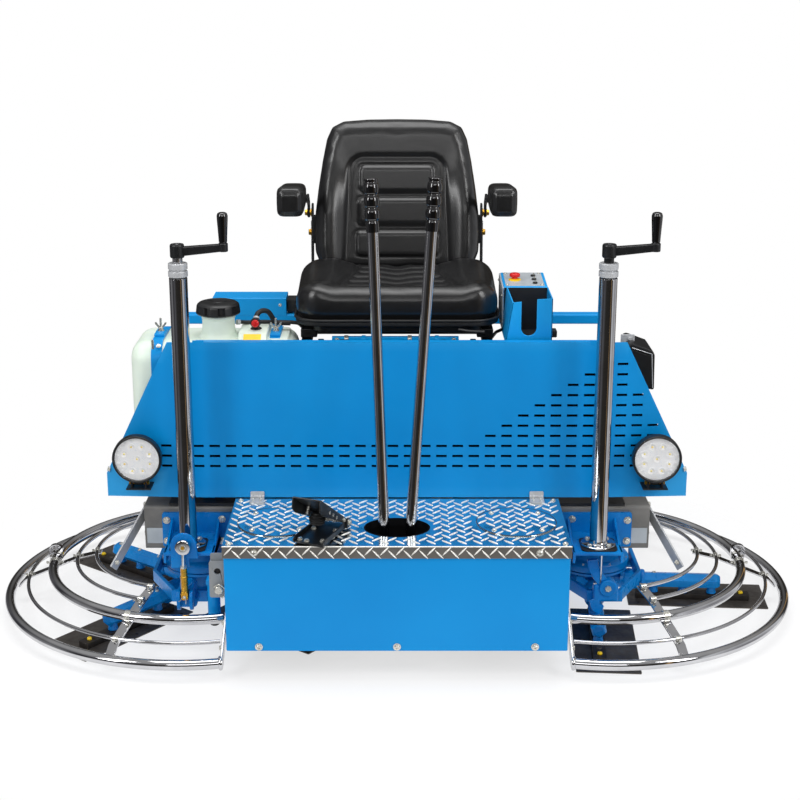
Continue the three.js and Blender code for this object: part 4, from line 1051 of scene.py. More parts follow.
def pedal():
    half = PEDAL_HALF
    y, z = PEDAL_HINGE
    base = Piece(PEDAL_PLACE)
    base.prism(rounded(-half, half, -72, 70, 7, 4), 4, 7, "z", 0, 0.6)
    base.block(8, half - 2, -70, -30, 0.4, 4.4, 0, 0.5)
    for x in (-half, half - 3):
        wall = [(-72, 6), (70, 6), (70, 18), (66, 24), (54, 24), (10, 17), (-60, 17), (-72, 12)]
        base.prism(wall, x, x + 3, "x", 0, 0.8)
    for x in (-half - 4, half):
        ear = [(50, 4), (70, 4), (70, 18), (66, 24), (54, 24), (50, 18)]
        base.prism(ear, x, x + 4, "x", 0, 0.8)
        base.bolt((x + (4 if x > 0 else 0), y, z), (1 if x > 0 else -1, 0, 0), 6, 1)
    base.rod((-half - 5, y, z), (half + 5, y, z), 4, 1, 20)
    base.bolts([(-26, -58, 7), (-26, 14, 7), (26, -50, 7), (26, 20, 7), (-8, -62, 7)], UP, 5.5, 1)
    base.skin("pedal_base", "frame", "black_paint", [BLACK_PAINT, ZINC])

    piece = Piece(PEDAL_PLACE)
    length, rise = 142, 94
    slope = math.atan2(rise, length)
    top = math.hypot(length, rise)

    def along(u, v, w=0.0):
        """Point on the treadle: u across, v up the slope from the heel, w off its face."""
        return (u, y + 4 - v * math.cos(slope) + w * math.sin(slope),
                z + v * math.sin(slope) + w * math.cos(slope))

    width = half - 3.4
    plate = [[along(u, v, h) for u, v in rect(-width, width, 8, top - 2)] for h in (3, 6)]
    piece.loft(plate, 0, bevel=1.0)
    for v in [16 + 10 * k for k in range(15)]:
        ridge = ((-2, 6), (-1, 7.3), (1, 7.3), (2, 6))
        piece.loft([[along(u, v + s, h) for s, h in ridge] for u in (-width + 5, width - 5)], 1)
    side_plate = ((0, 5), (2, -4), (26, -8), (top - 30, -24), (top - 10, -20), (top - 2, -4), (top - 2, 5))
    for u in (-width, width - 2.5):
        flange, other = ([along(u + w, *p) for p in side_plate] for w in (0, 2.5))
        piece.loft([flange, other], 0, bevel=0.6)
        outside = 1 if u > 0 else -1
        piece.bolt(along(u + (2.5 if u > 0 else 0), 20, -2), (outside, 0, 0), 4.5, 2)
        for v in (62, 84, 106):
            spot = along(u + (2.7 if u > 0 else -0.2), v, -7)
            piece.lathe(disc(4.4, 0, 0.4), spot, (outside, 0, 0), 20, 2, 0.1)
    fold_radii = (13, 18, 14, 19, 15, 19.5, 14, 16, 11, 10)
    folds = [(0, 35), *[(r, 35 + 3.1 * k) for k, r in enumerate(fold_radii)], (0, 66)]
    piece.lathe(folds, (0, -22, 0), sides=36, mat=3, soft=0.9)
    for u in (-24, 24):
        piece.rod(along(u, 96, 3), along(u, 96, -16), 4, 2, 14)
    piece.skin("foot_pedal", "foot_pedal", "black_paint", [BLACK_PAINT, RUBBER, ZINC, RUBBER])


# ------------------------------------------------------------------ steering levers
LEVERS = {"left": ((-30, -374, 345), (-58, -300, 1124)), "right": ((32, -374, 345), (85, -300, 1126))}
LEVER_PIVOT = (-392, 150)


def steering_lever(name):
    foot, top = (Vector(p) for p in LEVERS[name])
    pivot = foot.lerp(top, (LEVER_PIVOT[1] - foot.z) / (top.z - foot.z))
    direction = (top - pivot).normalized()
    length = (top - pivot).length
    piece = Piece()
    piece.lathe(disc(12.7, 0, length - 100), pivot, direction, 40, 0, 1)
    grip = [(0, length - 114), (14.8, length - 114), (15, length - 92), (13.8, length - 90)]
    for k in range(3):
        start = length - 88 + k * 29
        grip += [(14, start + 1), (17, start + 5), (17.8, start + 14), (17, start + 23), (14, start + 27)]
    grip += [(15.4, length + 1), (16.2, length + 3), (15, length + 5.5), (0, length + 6)]
    piece.lathe(grip, pivot, direction, 40, 1, 2.2)
    hub = [(0, -17), (21, -17), (22, -15), (22, 15), (21, 17), (0, 17)]
    piece.lathe(hub, (pivot.x, *LEVER_PIVOT), RIGHT, 32, 2, 1)
    piece.skin(f"steering_lever_{name}", f"steering_lever_{name}", "chrome",
                 [CHROME, GLOSS_BLACK, CAST_BLUE], angle=math.radians(50))


# ------------------------------------------------------------------ hood
SLOT_X0, SLOT_PITCH, SLOT_LENGTH = 211.7, 39.05, 25.6
SLOT_Z0, SLOT_RISE, SLOT_HEIGHT, SLOT_ROWS = 416, 25.5, 6.3, 11
FULL_ROWS = 3


def slot_columns(row):
    """Which columns of slots a row has: full rows at the bottom, then a rising triangle and the wing."""
    columns = list(range(-20, 7)) if row < FULL_ROWS else list(range(row - FULL_ROWS, 7))
    columns.append(8)
    if row <= 7:
        columns.append(9)
    if row <= 4:
        columns.append(10)
    return columns


def hood():
    shoulder, foot, step = 545, 705, 395
    slots = {(column, row) for row in range(SLOT_ROWS) for column in slot_columns(row)}
    xs = {-foot, -HOOD_BEND, HOOD_BEND, foot}
    for column in range(-20, 11):
        xs |= {SLOT_X0 + column * SLOT_PITCH, SLOT_X0 + column * SLOT_PITCH + SLOT_LENGTH}
    zs = {HOOD_FOOT, step, HOOD_TOP}
    for row in range(SLOT_ROWS):
        zs |= {SLOT_Z0 + row * SLOT_RISE - SLOT_HEIGHT / 2, SLOT_Z0 + row * SLOT_RISE + SLOT_HEIGHT / 2}
    xs, zs = sorted(xs), sorted(zs)

    def is_slot(x, z):
        column = math.floor((x - SLOT_X0) / SLOT_PITCH)
        row = round((z - SLOT_Z0) / SLOT_RISE)
        return (
            (column, row) in slots
            and x - SLOT_X0 - column * SLOT_PITCH < SLOT_LENGTH
            and abs(z - SLOT_Z0 - row * SLOT_RISE) < SLOT_HEIGHT / 2
        )

    made = bmesh.new()
    grid = [[made.verts.new((x, 0, z)) for z in zs] for x in xs]
    for i in range(len(xs) - 1):
        for j in range(len(zs) - 1):
            if not is_slot((xs[i] + xs[i + 1]) / 2, (zs[j] + zs[j + 1]) / 2):
                made.faces.new((grid[i][j], grid[i + 1][j], grid[i + 1][j + 1], grid[i][j + 1]))
    for sign in (-1, 1):
        normal = Vector((sign * (HOOD_TOP - step), 0, foot - shoulder))
        geometry = list(made.verts) + list(made.edges) + list(made.faces)
        bmesh.ops.bisect_plane(made, geom=geometry, plane_co=(sign * foot, 0, step), plane_no=normal,
                               clear_outer=True)
    bmesh.ops.delete(made, geom=[v for v in made.verts if not v.link_faces], context="VERTS")
    for vert in made.verts:
        over = max(abs(vert.co.x) - HOOD_BEND, 0)
        if over > 0:
            vert.co.x = math.copysign(HOOD_BEND + over * math.cos(WING_ANGLE), vert.co.x)
        vert.co.y = HOOD_Y + over * math.sin(WING_ANGLE)
    bmesh.ops.recalc_face_normals(made, faces=made.faces)
    if sum(f.normal.y for f in made.faces) > 0:
        bmesh.ops.reverse_faces(made, faces=made.faces)
    bmesh.ops.solidify(made, geom=list(made.faces), thickness=3)
    bmesh.ops.recalc_face_normals(made, faces=made.faces)
    piece = Piece()
    made.verts.index_update()
    piece.verts = [v.co.copy() for v in made.verts]
    piece.faces = [[v.index for v in f.verts] for f in made.faces]
    piece.mats = [0] * len(piece.faces)
    made.free()

    piece.block(-480, 480, HOOD_Y + 1, -150, HOOD_TOP - 3, HOOD_TOP, 0, 1.2)
    for side in (-1, 1):
        piece.block(side * 457, side * 484, HOOD_Y - 0.4, HOOD_Y + 2.6, HOOD_TOP - 8, HOOD_TOP + 5, 0, 0.8)
        piece.block(side * 520, side * 540, -172, -100, HOOD_FOOT + 6, HOOD_FOOT + 9, 1, 0.6)
        piece.bolt((side * 697, -164, 404), (side, -0.2, 0.3), 6, 2)
        lamp_x = side * LAMP_X
        piece.block(lamp_x - 30, lamp_x + 30, -222, -166, 370, 374, 1, 1)
        for end in (-1, 1):
            ear = [(-220, 371), (-190, 371), (-190, 384), (-196, 390), (-214, 390), (-220, 384)]
            piece.prism(ear, lamp_x + end * 17 - 2, lamp_x + end * 17 + 2, "x", 1, 0.8)
            piece.bolt((lamp_x + end * 19.2, LAMP_Y, 384), (end, 0, 0), 5.5, 3)
    piece.finish("hood_skin", "frame", "blue_paint", [BLUE, BLACK_PAINT, ZINC, YELLOW_ZINC], ["hood_panel"])


LAMP_FINS = 28


def lamp(name, side):
    x = side * LAMP_X
    at = (x, LAMP_Y, LAMP_Z)
    piece = Piece()
    bezel = [(0, 22), (36, 22), (50, 9), (50, 4), (57, 0), (59, -4), (59, -22), (57.5, -25.5),
             (54.5, -26), (53, -23), (53, -15), (0, -15)]
    piece.lathe(bezel, at, BACKWARD, 64, 0, 1.2)
    for k in range(LAMP_FINS):
        a = 2 * math.pi * k / LAMP_FINS
        u = Vector((math.cos(a), 0, math.sin(a)))
        base = Vector(at) + u * 50
        piece.sweep([base + Vector((0, 2, 0)), base + Vector((0, 14, 0)) - u * 6],
                    circle(2.2, 6, squash=2.2), 0, up=u)
        if abs(math.cos(a)) > 0.5:
            rib = Vector(at) + Vector((0, -17, 0))
            piece.sweep([rib + u * 44, rib + u * 52.6], rect(-1.1, 1.1, -2.4, 2.4), 1, up=FORWARD)
    piece.lathe(knob(52.8, -15.2, -16.6, 42, -16.8), at, BACKWARD, 56, 1, 0.2)
    spots = [(0.0, 0.0)] + circle(32.5, 8, start=22.5)
    for u, v in spots:
        cup = [(8.6, -16.7), (9.4, -19.4), (8.2, -19.4), (3.6, -17.1), (0, -17.0)]
        centre = (x + u, LAMP_Y, LAMP_Z + v)
        piece.lathe([(0, -16.7), *cup], centre, BACKWARD, 24, 1, 0.3)
        piece.lathe([(0, -17.0), (2.7, -17.0), (2.2, -18.6), (0, -18.9)], centre, BACKWARD, 14, 2, 0.3)
    piece.rod((x - 14.4, LAMP_Y, 384), (x + 14.4, LAMP_Y, 384), 5, 3, 20)
    piece.pad(x - 13, x + 13, 382, 400, 4, LAMP_Y - 6, LAMP_Y + 8, "y", 2, 0)
    piece.skin(f"lamp_{name}", f"lamp_{name}", "lamp", [BLACK_PLASTIC, PAINTED_GLOW_REFLECTOR, LED, YELLOW_ZINC])

    cover = Piece()
    cover.lathe([(0, -23.2), (52.6, -22.2), (52.6, -21.0), (0, -22.0)], at, BACKWARD, 56, 0, 0.3)
    cover.finish(f"lamp_{name}_lens", f"lamp_{name}", "lamp", [LENS])


# ------------------------------------------------------------------ tank
TANK = (-640, -244, -148, 60, 400, 712)  # x, y and z, each from its lowest to its highest
NECK_X, NECK_Y = -434, -60


def tank():
    x0, x1, y0, y1, z0, z1 = TANK
    piece = Piece()
    piece.pad(y0, y1, z0, z1, 46, x0, x1, "x", 34, 0, steps=7)
    neck = [(0, 700), (66, 700), (50, 709), (42, 720), (39.5, 734), (39.5, 757), (41, 758), (41, 765),
            (39, 766.5), (0, 766.5)]
    piece.lathe(neck, (NECK_X, NECK_Y, 0), sides=56, soft=4)
    piece.pad(-330, -262, -130, 20, 18, 706, 716, "z", 5, 0)
    slope = [(-146, 704), (-143, 713), (-112, 732), (10, 732), (44, 704)]
    piece.prism(slope, -382, -312, "x", 0, 6)
    piece.lathe([(0, 730), (13, 730), (14, 733), (11, 736), (0, 736)], (-342, -72, 0), sides=28, mat=1,
                soft=1)
    piece.rod((-342, -72, 728), (-342, -72, 747), 7, 2, 20)
    piece.lathe(knob(12.5, 0, 9, 10, 11), (-342, -80, 750), (0, -1, 0.05), 28, 3, 1)
    piece.lathe(knob(9, 0, 6, 6, 8), (-342, -90, 750), (0, -1, 0.05), 24, 2, 0.8)
    label = rect(-368, -326, -139, -117)
    lift = [[(u, v - h * 0.5, 713 + (v + 143) * 19 / 31 + h) for u, v in label] for h in (0.3, 1.0)]
    piece.loft(lift, 4)
    piece.skin("tank", "frame", "white_plastic", [HDPE, BLACK_PLASTIC, RED, RUBBER, LABEL])

    cap = Piece()

    def flute(turn, radius, height):
        on_side = radius > 44 and 771 < height < 790
        return radius - 7.5 * ramp_up(math.cos(turn * 9), 0.1, 0.6) if on_side else radius

    profile = [(0, 767.4), (49, 767.4), (52, 768.4), (54, 771), (54, 772.5), (53, 780), (52, 788),
               (50.5, 791.5), (46, 795.5), (38, 797.8), (36, 796.2), (14, 796.2), (12, 798), (0, 798.2)]
    cap.lathe(profile, (NECK_X, NECK_Y, 0), sides=144, mat=0, soft=1.2, flute=flute)
    for k in range(3):
        a = 2 * math.pi * k / 3 + 0.4
        mark = [(NECK_X + r * math.cos(a), NECK_Y + r * math.sin(a), 796.6) for r in (16, 33)]
        cap.sweep(mark, rect(-2.5, 2.5, -0.8, 0.8), 0, up=UP, bevel=0.3)
    cap.skin("tank_cap", "tank_cap", "black_plastic", [BLACK_PLASTIC])


def tank_cradle():
    x0, x1, y0, y1, z0, z1 = TANK
    piece = Piece()
    piece.prism(rounded(x0 + 10, x1 - 6, y0, y1, 8, 3), z0 - 7, z0 - 1, "z", 0, 1)
    for x in (-480, -330):
        piece.block(x, x + 30, -120, 30, 312, z0 - 6, 0, 1.5)
        piece.bolt((x + 15, -132 + 11, 330), FORWARD, 5, 1)
    for x in (-588, -308):
        outer = rounded(y0 - 4, y1 + 4, z0 - 7, z1 + 4.2, 50, 8)
        inner = rounded(y0 - 0.9, y1 + 0.9, z0 - 2, z1 + 1.0, 47, 8)
        piece.hoop(outer, inner, x, x + 26, "x", 0, 0.7)
        stud = z1 + 12
        piece.block(x, x + 26, -90, -30, z1 + 3, stud, 0, 3)
        piece.lathe(disc(8, stud, stud + 2), (x + 13, -60, 0), sides=24, mat=1, soft=0.3)
        piece.rod((x + 13, -60, stud), (x + 13, -60, stud + 32), 2.8, 1, 16)
        piece.lathe(cone(6.5, stud + 2, 5, stud + 11), (x + 13, -60, 0), sides=20, mat=1, soft=1)
        for s in (-1, 1):
            wing = [(3, 4), (13, 16), (14.5, 21), (11, 22), (6, 15), (1, 10)]
            piece.prism([(x + 13 + s * u, stud + v) for u, v in wing], -61.6, -58.4, "y", 1, 0.6)
        piece.rod((x + 4, -138, z1 - 14), (x + 4, -138, z1 + 9), 3.2, 1, 14)
        piece.bolt((x + 18, -140, z1 - 6), (0, -0.6, 0.8), 4.5, 1)
    piece.skin("tank_cradle", "frame", "blue_paint", [BLUE, ZINC, YELLOW_ZINC])


def fuel_hose():
    """Fixed fuel lines from the tank's neck and elbow to the engine, held at both ends."""
    piece = Piece()
    route = [(-342, -66, 752), (-340, -56, 764), (-330, -44, 770), (-316, -34, 766), (-306, -28, 750),
             (-300, -24, 738), (-286, -22, 735), (-262, -20, 734)]
    piece.hose(route, 8, 6.2, 0, 18)
    vent = [(-392, -40, 742), (-372, -28, 738), (-340, -20, 737), (-300, -16, 736), (-256, -14, 734),
            (-240, -14, 730), (-230, -12, 716), (-232, -8, 698), (-222, 6, 672), (-190, 20, 640),
            (-172, 30, 628)]
    piece.hose(vent, 8, 4.8, 0, 16)
    piece.lathe(disc(6.4, 0, 9), (-392, -44, 742), (0.7, 0.5, -0.1), 20, 1, 0.5)
    piece.lathe(disc(7.6, 0, 7), (-342, -64, 753), (0.05, 0.6, 0.7), 20, 1, 0.5)
    piece.finish("fuel_lines", "frame", "black_plastic", [RUBBER, SATIN])


# ------------------------------------------------------------------ upper frame and console
WIRE_LOOPS = ((-150, 26, 60, 5), (-70, 40, 46, 3.6), (92, 22, 52, 4.4), (132, 34, 40, 3.4))


def upper_frame():
    piece = Piece()
    y0, y1, z0, z1 = 250, 286, 666, 692
    outer, inner = rounded(y0, y1, z0, z1, 4, 4), rounded(y0 + 3, y1 - 3, z0 + 3, z1 - 3, 2, 4)
    piece.hoop(outer, inner, -565, 565, "x", 0, 0.4)
    for side in (-1, 1):
        cap_x = sorted((side * 564, side * 555))
        piece.prism(rounded(y0 + 3, y1 - 3, z0 + 3, z1 - 3, 2, 4), *cap_x, "x", 2, 0.4)
        piece.block(side * 212, side * 236, -66, y0 + 1, 672, 692, 1, 1.5)
        piece.block(side * 212, side * 236, -66, -42, 312, 673, 1, 1.5)
        piece.block(side * 305, side * 335, y0 + 4, y1 - 4, 290.5, z0 + 1, 0, 2)
        piece.block(side * 206, side * 242, -74, -34, 311.8, 318, 1, 1)
        piece.bolt((side * 224, -66, 640), FORWARD, 7, 3)
        piece.bolts([(side * 236, y, 682) for y in (-20, 90, 200)], (side, 0, 0), 6, 3)
    for y in (-50, 150):
        piece.rod((-230, y, 676), (230, y, 676), 12, 1, 28)
    cover = [(y0 - 0.6, 690), (y0 - 0.6, 735), (y0 + 2, 737), (327, 737), (330, 734), (330, 691),
             (y1, 691), (y1, 690)]
    piece.prism(cover, -486, -292, "x", 0, 1.2)
    piece.block(-292, -262, 262, 316, 696, 730, 2, 3)
    piece.hose([(-270, 268, 716), (-252, 240, 712), (-238, 200, 700), (-226, 150, 668)], 7, 5, 2, 14)
    piece.bolts([(x, y0, 718) for x in (-470, -308)], FORWARD, 3.6, 3, "button")
    for start, depth, reach, thick in WIRE_LOOPS:
        loop = [(start, -60, 688), (start + 4, -84, 700), (start + reach * 0.4, -92, 706),
                (start + reach * 0.8, -84, 698), (start + reach, -66, 688 - depth * 0.3),
                (start + reach, -58, 676 - depth)]
        piece.hose(loop, 7, thick, 2, 14)
    piece.pad(-64, 64, -74, -56, 4, 664, 703, "z", 2, 1)
    for side in (-1, 1):
        piece.block(side * 178, side * 192, -78, -66, 650, 706, 1, 1.5)
        piece.bolt((side * 185, -78, 698), FORWARD, 4, 3)
        piece.block(side * 96, side * 104, -76, -70, 680, 712, 3, 1)
    piece.prism(rounded(-78, -64, 699, 713, 3, 3), -158, 150, "x", 0, 0.6)
    for x in (-128, -86, 26, 92):
        piece.lathe(disc(9.5, 0, 10), (x, -71, 706), RIGHT, 28, 3 if x in (-128, 26) else 0, 1)
    piece.bolts([(x, -78, 706) for x in (-146, 138)], FORWARD, 4.5, 3)
    piece.skin("upper_frame", "frame", "blue_paint", [LIT_BLUE, BLACK_PAINT, RUBBER, ZINC])


CUP_X0, CUP_X1, CUP_Y0, CUP_Y1, CUP_Z0, CUP_Z1, CUP_WALL = 258, 370, -140, -20, 714, 822, 3
CUP_SLOT_X, CUP_SLOT_Z, CUP_SLOT_R = 314, 750, 20
CUP_SLOT_STEP = 180 / 14
BUTTON_X, BUTTON_Y, BUTTON_Z = 292, 40, 829
DESK_RISE = 0.0752  # the desk's slope, from front to back


def console():
    x0, x1, y0, y1, z0, z1, wall = CUP_X0, CUP_X1, CUP_Y0, CUP_Y1, CUP_Z0, CUP_Z1, CUP_WALL
    piece = Piece()
    lean = 16
    bottom = bow((CUP_SLOT_X, CUP_SLOT_Z), CUP_SLOT_R, CUP_SLOT_R, 180 + CUP_SLOT_STEP,
                 360 - CUP_SLOT_STEP, 12)
    right, left = CUP_SLOT_X + CUP_SLOT_R, CUP_SLOT_X - CUP_SLOT_R
    lip = [(right, z1 - 2), (right, CUP_SLOT_Z), *bottom[::-1], (left, CUP_SLOT_Z), (left, z1 - 8)]
    front = [(x0, z0), (x1, z0), (x1, z1), *lip, (x0 + lean, z1 - 10)]
    piece.prism(front, y0, y0 + wall, "y", 0, 0.8)
    piece.tube([(u, y0 + wall / 2, v) for u, v in lip], 1.7, 0, 8)
    piece.block(x0, x1, y0, y1, z0, z0 + wall, 0, 0.8)
    piece.prism([(y0, z0), (y1 + 1, z0), (y1 + 1, z1 + 2), (y0, z1)], x1 - wall, x1, "x", 0, 0.8)
    rings = []
    for u in (x0, x0 + wall):
        rings.append([(u, y0, z0), (u, y1, z0), (u + lean * 0.6, y1, z1 + 2), (u + lean, y0, z1 - 10)])
    piece.loft(rings, 0, bevel=0.6)
    piece.block(x0 + 4, x1 - 3, y1 - 3, y1, z0, z1 + 1, 3, 0.6)
    piece.block(x0 + 5, x1 - 4, y0 + wall + 1, y1 - 4, z0 + wall, z0 + wall + 2, 3, 0.6)
    desk = [(-21, z0), (116, z0), (116, 828), (110, 834), (-15, 824.6), (-21, 818)]
    piece.prism(desk, x0 + 3, x1 - 0.5, "x", 0, 2)
    piece.prism([(-19, z0 + 4), (114, z0 + 4), (114, 829), (108, 833), (-17, 822)], x0 - 0.4, x0 + 3.4,
                "x", 1, 1)
    panel = rect(x0 + 9, x1 - 8, -12, 106)
    top = [[(u, v, 824.5 + (v + 15) * DESK_RISE + h) for u, v in panel] for h in (0, 1.0)]
    piece.loft(top, 1, bevel=0.3)
    piece.lathe(knob(15, 828.5, 832, 9.5, 833), (BUTTON_X, BUTTON_Y, 0), sides=36, mat=4, soft=0.5)
    for u, v in ((272, 96), (356, 96), (356, -4), (272, -4)):
        piece.bolt((u, v, 825.5 + (v + 15) * DESK_RISE), UP, 3.2, 2, "button")
    for k in range(3):
        at = (340, 8 + 32 * k)
        top_z = 826.4 + (at[1] + 15) * DESK_RISE
        piece.lathe(disc(6, top_z, top_z + 3), (*at, 0), sides=20, mat=3, soft=0.4)
        piece.rod((*at, top_z), (at[0] + 2, at[1] - 2, top_z + 8), 1.8, 2, 12)
    piece.block(285, 345, 22, 82, 312, 715, 0, 3)
    piece.bolts([(315, 22, z) for z in (330, 690)], FORWARD, 6, 2)
    panel_screws = [(x0 - 0.4, v, w) for v, w in ((-10, 735), (-10, 800), (112, 735), (112, 815))]
    piece.bolts(panel_screws, (-1, 0, 0), 3, 2, "button")
    piece.hose([(262, -30, 722), (250, -14, 712), (246, 20, 700), (238, 60, 676)], 6, 4, 3, 12)
    piece.block(x1, x1 + 26, -10, 20, 694, 712, 3, 3)
    piece.skin("console", "frame", "blue_paint", [LIT_BLUE, CONSOLE_SIDE, ZINC, RUBBER, LABEL])

    button = Piece()
    profile = [(0, -14), (7.2, -14), (7.2, 7.5), (12, 8.5), (13, 10), (13, 15), (10, 18), (0, 19)]
    button.lathe(profile, (BUTTON_X, BUTTON_Y, BUTTON_Z), sides=40, soft=1.4)
    button.skin("stop_button", "stop_button", "red_plastic", [RED])


def hood_shade_sheets():
    """Near-black sheets behind the hood and its wings: painted shade seen through the slots."""
    piece = Piece()
    shape = rect(-HOOD_BEND, HOOD_BEND, 350, 700)
    piece.prism(shape, HOOD_Y + 16, HOOD_Y + 21, "y", 0, 1.5)
    foot, shoulder, step = 690, 536, 395
    reach = math.cos(WING_ANGLE), math.sin(WING_ANGLE)
    for side in (-1, 1):
        line = knob(foot - HOOD_BEND, 346, step, shoulder - HOOD_BEND, 700)
        rings = []
        for off in (14, 18):
            outward, inward = off * reach[1], off * reach[0]
            rings.append([(side * (HOOD_BEND + u * reach[0] - outward), HOOD_Y + u * reach[1] + inward, v)
                          for u, v in line])
        piece.loft(rings, 0, bevel=0.8)
    piece.finish("hood_shade_sheets", "frame", "black_plastic", [PAINTED_SHADE])


# ------------------------------------------------------------------ engine
def engine():
    floor_z = 312
    silencer = (185, 440)
    fan = (-170, 40, 400)
    filter_at = (110, -96, 350)
    piece = Piece()
    piece.block(-170, 170, -88, 146, floor_z, 400, 0, 6)
    for k in range(9):
        z = 406 + 11 * k
        piece.prism(rounded(-160, 160, -82, 140, 14, 4), z, z + 4, "z", 2, 0.6)
    piece.block(-140, 140, -70, 128, 400, 505, 0, 4)
    piece.pad(-84, 134, 500, 655, 42, -165, 165, "x", 16, 1, 6)
    for x in (-110, -60, 60, 110):
        piece.pad(-60, 110, 648, 657, 20, x - 16, x + 16, "x", 3, 1)
    piece.lathe([(0, -150), (52, -150), (55, -144), (55, 144), (52, 150), (0, 150)], (0, *silencer),
                RIGHT, 48, 3, 2)
    for x in (-90, 0, 90):
        piece.lathe(band(55.2, 57, -6, 6), (x, *silencer), RIGHT, 48, 2, 0.3)
    piece.hose([(120, 150, 440), (120, 120, 450), (110, 100, 470)], 6, 16, 3, 24)
    piece.hose([(-120, 236, 440), (-130, 262, 452), (-132, 286, 490), (-132, 292, 560)], 8, 15, 3, 24)
    grille = [(0, 0), (66, 0), (66, 8), (60, 12), (60, 26), (0, 30)]
    piece.lathe(grille, fan, (-1, 0, 0), 56, 1, 2)
    for k in range(7):
        radius = 12 + 7 * k
        piece.lathe(band(radius, radius + 2.2, 29.5, 32),
                    fan, (-1, 0, 0), 40, 2, 0.3)
    piece.lathe([(0, 0), (30, 0), (32, 4), (32, 70), (28, 76), (0, 76)], filter_at, FORWARD, 36, 4, 2)
    piece.block(160, 570, -32, 4, 604, 636, 3, 6)
    case = [(560, 592), (629, 581), (627, 672), (619, 682), (570, 700), (560, 694)]
    piece.prism(case, -88, 28, "y", 1, 5)
    piece.prism([(570, 600), (621, 590), (618, 668), (570, 684)], -91, -86, "y", 1, 1.5)
    piece.tube([(570, -90, 689), (619, -90, 673), (624, -90, 588)], 1.2, 6, 8)
    piece.block(548, 582, -50, -44, 690, 712, 6, 2)
    piece.bolt((570, -50, 702), FORWARD, 5, 6)
    piece.bolts([(u, v, floor_z + 88) for u in (-140, 140) for v in (-76, 134)], UP, 7, 2)
    piece.block(-150, -60, -112, -84, 330, 380, 5, 4)
    piece.hose([(-60, -98, 350), (-10, -108, 360), (60, -104, 400), (120, -90, 470), (140, -60, 540)], 8,
               7, 5, 16)
    piece.skin("engine", "frame", "black_paint",
               [BLACK_PAINT, BLACK_PLASTIC, BRUSHED, GREY, YELLOW_ZINC, RUBBER, SATIN])


# ------------------------------------------------------------------ seat
CLOTH_PRESSURE = 4.0
CLOTH_FRAMES = 20


def coords(mesh):
    flat = np.empty(len(mesh.vertices) * 3)
    mesh.vertices.foreach_get("co", flat)
    return flat.reshape(-1, 3)


def remeshed(piece, voxel):
    """The piece's shells merged into one even skin, as an object in metres."""
    mesh = bpy.data.meshes.new("raw")
    mesh.from_pydata([tuple(c * MM for c in v) for v in piece.verts], [], piece.faces)
    obj = bpy.data.objects.new("raw", mesh)
    scene.collection.objects.link(obj)
    modifier = obj.modifiers.new("voxels", "REMESH")
    modifier.mode = "VOXEL"
    modifier.voxel_size = voxel * MM
    done = bpy.data.meshes.new_from_object(obj.evaluated_get(bpy.context.evaluated_depsgraph_get()))
    obj.modifiers.clear()
    obj.data = done
    return obj


def eased(mesh, values, rounds=14):
    """Spreads a value over each point's neighbours, so that no small crease is left."""
    ends = np.empty(len(mesh.edges) * 2, dtype=int)
    mesh.edges.foreach_get("vertices", ends)
    a, b = ends.reshape(-1, 2).T
    count = np.bincount(ends, minlength=len(values))
    for _ in range(rounds):
        near = np.bincount(a, values[b], len(values)) + np.bincount(b, values[a], len(values))
        values = (values + near / count) / 2
    return values


def inflate(obj, cap):
    """Blows the skin up as cloth and keeps each point's outward swell, up to cap millimetres."""
    before = coords(obj.data)
    flat = np.empty(before.size)
    obj.data.vertices.foreach_get("normal", flat)
    normals = flat.reshape(-1, 3)
    cloth = obj.modifiers.new("cloth", "CLOTH")
    cloth.settings.use_pressure = True
    cloth.settings.uniform_pressure_force = CLOTH_PRESSURE
    cloth.settings.effector_weights.gravity = 0
    cloth.settings.tension_stiffness = 30
    cloth.settings.compression_stiffness = 30
    cloth.settings.bending_stiffness = 4
    for step in range(1, CLOTH_FRAMES + 1):
        scene.frame_set(step)
    after = coords(obj.evaluated_get(bpy.context.evaluated_depsgraph_get()).data)
    obj.modifiers.remove(cloth)
    scene.frame_set(1)
    swell = np.clip(((after - before) * normals).sum(axis=1), 0, cap * MM)
    swell = eased(obj.data, swell)
    obj.data.vertices.foreach_set("co", (before + normals * swell[:, None]).ravel())


def rounded_distance(u, v, half_u, half_v, r):
    """Signed distance to a rounded rectangle about the origin, negative inside."""
    du, dv = np.abs(u) - half_u + r, np.abs(v) - half_v + r
    outside = np.hypot(np.maximum(du, 0), np.maximum(dv, 0))
    return outside + np.minimum(np.maximum(du, dv), 0) - r


def groove(distance, depth, width):
    return -depth * np.exp(-((distance / width) ** 2))


def stuffed(obj, name, relief, body, materials, nodes):
    """Presses seams and panels into an inflated skin and hands it to its body."""
    points = coords(obj.data) / MM
    obj.data.vertices.foreach_set("co", ((points + relief(points)) * MM).ravel())
    mesh = obj.data
    bpy.data.objects.remove(obj)
    mesh.name = name
    made = place_object(name, mesh, body, materials, nodes, math.radians(180), weighted=False)
    smooth = made.modifiers.new("smooth", "SUBSURF")
    smooth.levels = smooth.render_levels = 1


SEAT_HALF, SEAT_Y0, SEAT_Y1, SEAT_Z0, SEAT_Z1 = 251.5, -100, 205, 748, 834


